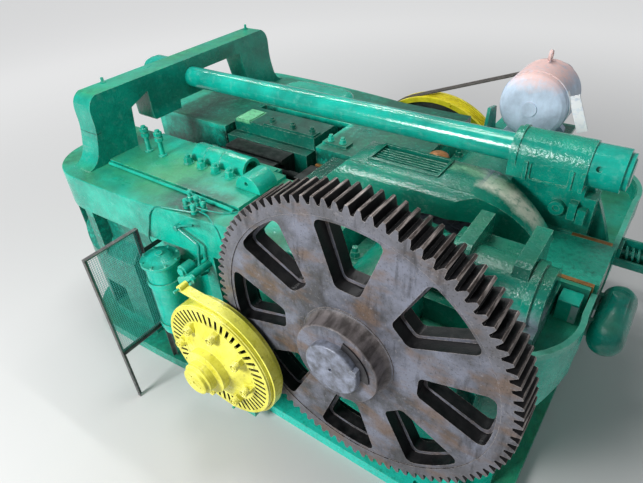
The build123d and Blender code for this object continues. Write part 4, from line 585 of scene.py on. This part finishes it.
def lemon(name, shade, bright, edge_wear_and_highlight):
    """Yellow gloss enamel, darker in greasy patches, pale on its edges as wear and painted highlight, and
    near black in the slots and inside the drum as painted shade."""
    def inside(tree):
        """1 behind the front of the disc and within the ring of slots: where the drum's inside is painted as
        shade.
        """
        place = add(tree, "ShaderNodeTexCoord")
        split = add(tree, "ShaderNodeSeparateXYZ")
        tree.links.new(place.outputs["Object"], split.inputs[0])
        deep = share_of(tree, split.outputs["Y"], DISC_FRONT, DISC_FRONT + 0.012)
        return times(tree, deep, off_axis(tree, DRIVE, SLOTS_TO, SLOTS_TO - 0.010))

    def colours(tree):
        """The coats in turn: tone, greasy patches, pale edges of wear and painted highlight, and painted
        shade in the slots and on the drum's inside.
        """
        tone = mixed(tree, blotches(tree, 5.0, 6.0, 0.35, 0.62), shade, bright)
        greasy = times(tree, blotches(tree, 19.0, 5.0, 0.58, 0.74), 0.55)
        stained = mixed(tree, greasy, tone, (0.16, 0.14, 0.035))
        # Pale edges: wear and painted highlight.
        pale_edge_share = times(tree, edges_of(tree, 0.006), edge_wear_and_highlight)
        rubbed_and_glinting = mixed(tree, pale_edge_share, stained, (0.98, 0.95, 0.42))
        past_inner = off_axis(tree, DRIVE, SLOTS_FROM, SLOTS_FROM + PAINT_EDGE)
        short_of_outer = off_axis(tree, DRIVE, SLOTS_TO, SLOTS_TO - PAINT_EDGE)
        ring = times(tree, past_inner, short_of_outer)
        slots = times(tree, ring, facing(tree, "Y", -0.85, -0.45))
        # Painted shade on the slot walls and, in the return below, on the drum's inside.
        cut = mixed(tree, times(tree, slots, 0.9), rubbed_and_glinting, (0.050, 0.040, 0.012))
        return mixed(tree, inside(tree), cut, (0.035, 0.030, 0.012))

    return surface_of(name, colours,
                      lambda tree: uneven(tree, 22.0, 0.2, 0.2),
                      lambda tree: bumps(tree, ((14.0, 0.004), (70.0, 0.0012))), Specular_IOR_Level=0.42)


drum_paint = lemon("drum_enamel", (0.60, 0.56, 0.04), (0.90, 0.86, 0.13), 0.8)
for node, rounding in {"brake_drum": 0.003, "hub_cap": 0.003}.items():
    joined_copy(node, rounding, drum_paint)
strap = joined_copy("brake_band", 0.002, lemon("strap_enamel", (0.70, 0.68, 0.06), (0.90, 0.87, 0.16), 0.9))
places = np.empty(3 * len(strap.data.vertices))
strap.data.vertices.foreach_get("co", places)
places = places.reshape(-1, 3)
across = (places[:, 1] - places[:, 1].min()) / np.ptp(places[:, 1])
places[:, 1] = STRAP_FRONT + STRAP_WIDTH * across
strap.data.vertices.foreach_set("co", places.ravel())
strap.data.update()

# Springs on the brake's eight studs. Each is a coil of yellow steel wire, wound round its stud and held
# by the nut, and it turns with the drum.
SPRING_ENDS = -2.138, -2.188
SPRING_RADIUS, WIRE, TURNS = 0.034, 0.0055, 5


def bar_along(name, path, radius, material, body, sides=8):
    """A round bar along a path: at each point a ring square to the run between its two neighbours."""
    path = np.array(path, float)
    run = np.gradient(path, axis=0)
    run = run / np.linalg.norm(run, axis=1, keepdims=True)
    side = np.cross(run, (0.31, 0.22, 0.93))
    side = side / np.linalg.norm(side, axis=1, keepdims=True)
    rise = np.cross(run, side)
    turn = np.linspace(0, 2 * np.pi, sides, endpoint=False)[None, :, None]
    rings = path[:, None] + radius * (np.cos(turn) * side[:, None] + np.sin(turn) * rise[:, None])
    return woven(name, rings, material, body)


wound = 2 * np.pi * TURNS * np.linspace(0, 1, 49)
wire_path = np.stack([SPRING_RADIUS * np.cos(wound), np.linspace(*SPRING_ENDS, 49),
                      SPRING_RADIUS * np.sin(wound)], axis=-1)
for n in range(8):
    out = radians(45 * n + 12)
    stud = (DRIVE[0] + STUD_CIRCLE * cos(out), 0, DRIVE[1] - STUD_CIRCLE * sin(out))
    bar_along(f"stud_spring_{n + 1}", wire_path + stud, WIRE, drum_paint, "drive_line", 6)

# Band anchors, air cylinder and valve on the near side. Castings and a drawn steel tube, hung on
# brackets from the bed and painted with it.
joined_copy("band_anchors", 0.003, fitting_paint)
air_paint = enamel("air_enamel", (0.006, 0.56, 0.43), lumps=0.6, edge_wear_and_highlight=0.6, top_dust_and_painted_light=(0.02, 0.22, 0.13),
                   top_dust_and_painted_light_share=0.85)
for node, rounding in {"air_cylinder": 0.004, "cylinder_cap": 0.002, "cylinder_bracket": 0.003,
                       "air_valve": 0.003}.items():
    joined_copy(node, rounding, air_paint)

# Feed pipe, hand lever and oil lines on the near side, and the long pipe along the deck. Bent steel
# pipe clipped to the side band and the deck, with a row of oilers on the deck's edge, all sprayed over
# in the bed's green, and a turned bronze cup over the crank.
OIL_PIPE = 0.0075
THIN_PIPE = 0.006
DECK = 2.078


def rounded(corners, reach):
    """A path through the corners, each inner corner cut back by the reach on both sides and joined by a
    curve: (1-t) squared of the one end, 2t(1-t) of the corner and t squared of the other."""
    corners = np.array(corners, float)
    share = np.linspace(0, 1, 7)[:, None]
    path = [corners[:1]]
    for before, corner, after in zip(corners, corners[1:], corners[2:]):
        near = corner + (before - corner) * min(0.45, reach / np.linalg.norm(before - corner))
        far = corner + (after - corner) * min(0.45, reach / np.linalg.norm(after - corner))
        path.append((1 - share) ** 2 * near + 2 * share * (1 - share) * corner + share ** 2 * far)
    path.append(corners[-1:])
    return np.concatenate(path)


pipe_paint = enamel("pipe_enamel", (0.005, 0.34, 0.26), lumps=0.3, edge_wear_and_highlight=0.0, top_dust_and_painted_light_share=0.2, coat=0.4)
feed = ((-1.96, -1.58, 1.95), (-1.96, -1.65, 1.95), (-1.715, -1.645, 1.84), (-1.755, -1.68, 1.50),
        (-1.755, -1.57, 1.47))
bar_along("feed_pipe", rounded(feed, 0.03), 0.015, pipe_paint, "machine", 12)
lever = ((-1.97, -1.655, 1.93), (-1.90, -1.655, 1.99), (-1.72, -1.65, 2.055))
bar_along("hand_lever", rounded(lever, 0.03), 0.011, pipe_paint, "machine", 10)
turned("lever_boss", ((-0.06, 0.03), (0.03, 0.03), (0.034, 0.026)), (-1.96, -1.64, 1.945), (0, -1, 0),
       pipe_paint, "machine")
front = ((-2.43, -1.655, 1.60), (-2.43, -1.672, 1.66), (-2.30, -1.664, 2.00), (-2.205, -1.640, 2.093),
         (-2.02, -1.590, 2.089), (-1.84, -1.54, 2.089))
bar_along("oil_line_front", rounded(front, 0.06), OIL_PIPE, pipe_paint, "machine")
rear = ((-1.84, -1.50, 2.089), (-1.69, -1.50, 2.089), (-1.57, -1.56, 2.089), (-1.52, -1.562, 2.03),
        (-1.50, -1.554, 1.90), (-1.50, -1.535, 1.86))
bar_along("oil_line_rear", rounded(rear, 0.05), OIL_PIPE, pipe_paint, "machine")
oiler = ((-0.01, 0.030), (0.030, 0.030), (0.031, 0.020), (0.055, 0.020), (0.056, 0.027), (0.085, 0.027),
         (0.095, 0.016))
for n, (x, y) in enumerate(((-2.03, -1.378), (-1.90, -1.417), (-1.77, -1.456), (-1.95, -1.500),
                            (-1.82, -1.530))):
    turned(f"oiler_{n + 1}", oiler, (x, y, DECK), (0, 0, 1), fitting_paint, "machine", 12)
between = ((-2.03, -1.378, 2.15), (-1.98, -1.40, 2.175), (-1.90, -1.417, 2.15), (-1.83, -1.44, 2.175),
           (-1.77, -1.456, 2.15))
bar_along("oil_line_deck", rounded(between, 0.03), THIN_PIPE, pipe_paint, "machine")
to_gear = ((-1.95, -1.50, 2.15), (-1.88, -1.50, 2.17), (-1.82, -1.53, 2.15), (-1.74, -1.49, 2.12),
           (-1.60, -1.42, 2.089), (-1.45, -1.30, 2.089))
bar_along("oil_line_gear", rounded(to_gear, 0.03), THIN_PIPE, pipe_paint, "machine")
along_deck = ((-3.30, -1.335, 2.094), (-1.60, -1.335, 2.094), (-1.52, -1.345, 2.094))
bar_along("deck_pipe", rounded(along_deck, 0.05), 0.018, fitting_paint, "machine", 12)
cup = ((-0.02, 0.105), (0.24, 0.105), (0.262, 0.095), (0.278, 0.070), (0.288, 0.035))
turned("oil_cup", cup, (-0.43, 0.42, 1.86), (0, 0, 1), bronze, "machine", 40)

# Guard. A welded angle-iron frame, bare and dark, with a fine mesh of green painted wire stretched
# across it.
guard_iron = bare_metal("guard_iron", (0.060, 0.062, 0.062), (0.17, 0.165, 0.16), 0.45, metallic=0.3)
joined_copy("guard_frame", 0, guard_iron)
wire = bare_metal("mesh_wire", (0.010, 0.25, 0.20), (0.04, 0.50, 0.42), 0.5, metallic=0.0)
joined_copy("guard_mesh", 0, wire)

# Spring and air tank behind the rear wall. A wound spring on its rod in a bent channel, and a welded
# tank on two saddles, all under green paint dulled by dust.
rear_paint = enamel("rear_enamel", (0.003, 0.27, 0.20), lumps=0.6, top_dust_and_painted_light=(0.02, 0.19, 0.12), edge_wear_and_highlight=0.5)
for node, rounding, angle in (("spring_channel", 0.003, 33), ("air_tank", 0, 50), ("tank_saddles", 0.002, 33),
                              ("spring_rod", 0.002, 33), ("coil_spring", 0, 33)):
    joined_copy(node, rounding, rear_paint, angle=angle)

# Floor and light. A pale studio floor that brightens with distance, a wide soft lamp beside the
# camera, one overhead, a long strip and a small lamp for the glints on wet paint, and an even sky.
floor = bpy.data.objects.new("floor", bpy.data.meshes.new("floor"))
floor.data.from_pydata([(-60, -60, 0), (60, -60, 0), (60, 60, 0), (-60, 60, 0)], [], [(0, 1, 2, 3)])
scene.collection.objects.link(floor)


HAZE_FROM, HAZE_FULL, HAZE = 3.5, 14, 0.50


def haze(tree):
    """How much the floor brightens: nothing near the machine's middle, all of HAZE from HAZE_FULL metres
    out, on a smooth curve between."""
    place = add(tree, "ShaderNodeTexCoord")
    moved = add(tree, "ShaderNodeVectorMath", operation="SUBTRACT")
    tree.links.new(place.outputs["Object"], moved.inputs[0])
    moved.inputs[1].default_value = (-1.3, 0, 0)
    size = add(tree, "ShaderNodeVectorMath", operation="LENGTH")
    tree.links.new(moved.outputs[0], size.inputs[0])
    span = add(tree, "ShaderNodeMapRange", interpolation_type="SMOOTHSTEP")
    span.inputs["From Min"].default_value = HAZE_FROM
    span.inputs["From Max"].default_value = HAZE_FULL
    span.inputs["To Max"].default_value = HAZE
    tree.links.new(size.outputs["Value"], span.inputs["Value"])
    return span.outputs["Result"]


floor_paint = bpy.data.materials.new("pale_floor")
floor_paint.use_nodes = True
floor_shader = floor_paint.node_tree.nodes["Principled BSDF"]
floor_shader.inputs["Base Color"].default_value = (0.60, 0.60, 0.595, 1)
floor_shader.inputs["Roughness"].default_value = 0.8
floor_shader.inputs["Emission Color"].default_value = (1, 1, 1, 1)
floor_paint.node_tree.links.new(haze(floor_paint.node_tree), floor_shader.inputs["Emission Strength"])
floor.data.materials.append(floor_paint)


def lamp(name, place, aim, size, power, breadth=None):
    """A soft lamp of that size in metres, turned to the aim. With a breadth it is a strip."""
    light = bpy.data.lights.new(name, "AREA")
    light.size = size
    if breadth:
        light.shape = "RECTANGLE"
        light.size_y = breadth
    light.energy = power
    made = bpy.data.objects.new(name, light)
    turn = (Vector(aim) - Vector(place)).to_track_quat("-Z", "Y").to_matrix().to_4x4()
    made.matrix_world = Matrix.Translation(place) @ turn
    scene.collection.objects.link(made)


lamp("lamp_side", (-3.5, -9.5, 6.5), (-1, -0.5, 1.2), 3.0, 1080)
lamp("lamp_top", (-1.5, -0.5, 9.5), (-1, 0, 1.2), 2, 170)
lamp("lamp_strip", (-5.5, 2.2, 8.5), (-5.5, 2.2, 0), 8.0, 330, 0.16)
lamp("lamp_glint", (-4.5, 5.5, 7.5), (-1, 0, 1.8), 0.7, 45)
world = bpy.data.worlds.new("studio")
scene.world = world
world.use_nodes = True
world.node_tree.nodes["Background"].inputs["Color"].default_value = (0.93, 0.96, 1.0, 1)
world.node_tree.nodes["Background"].inputs["Strength"].default_value = 0.27
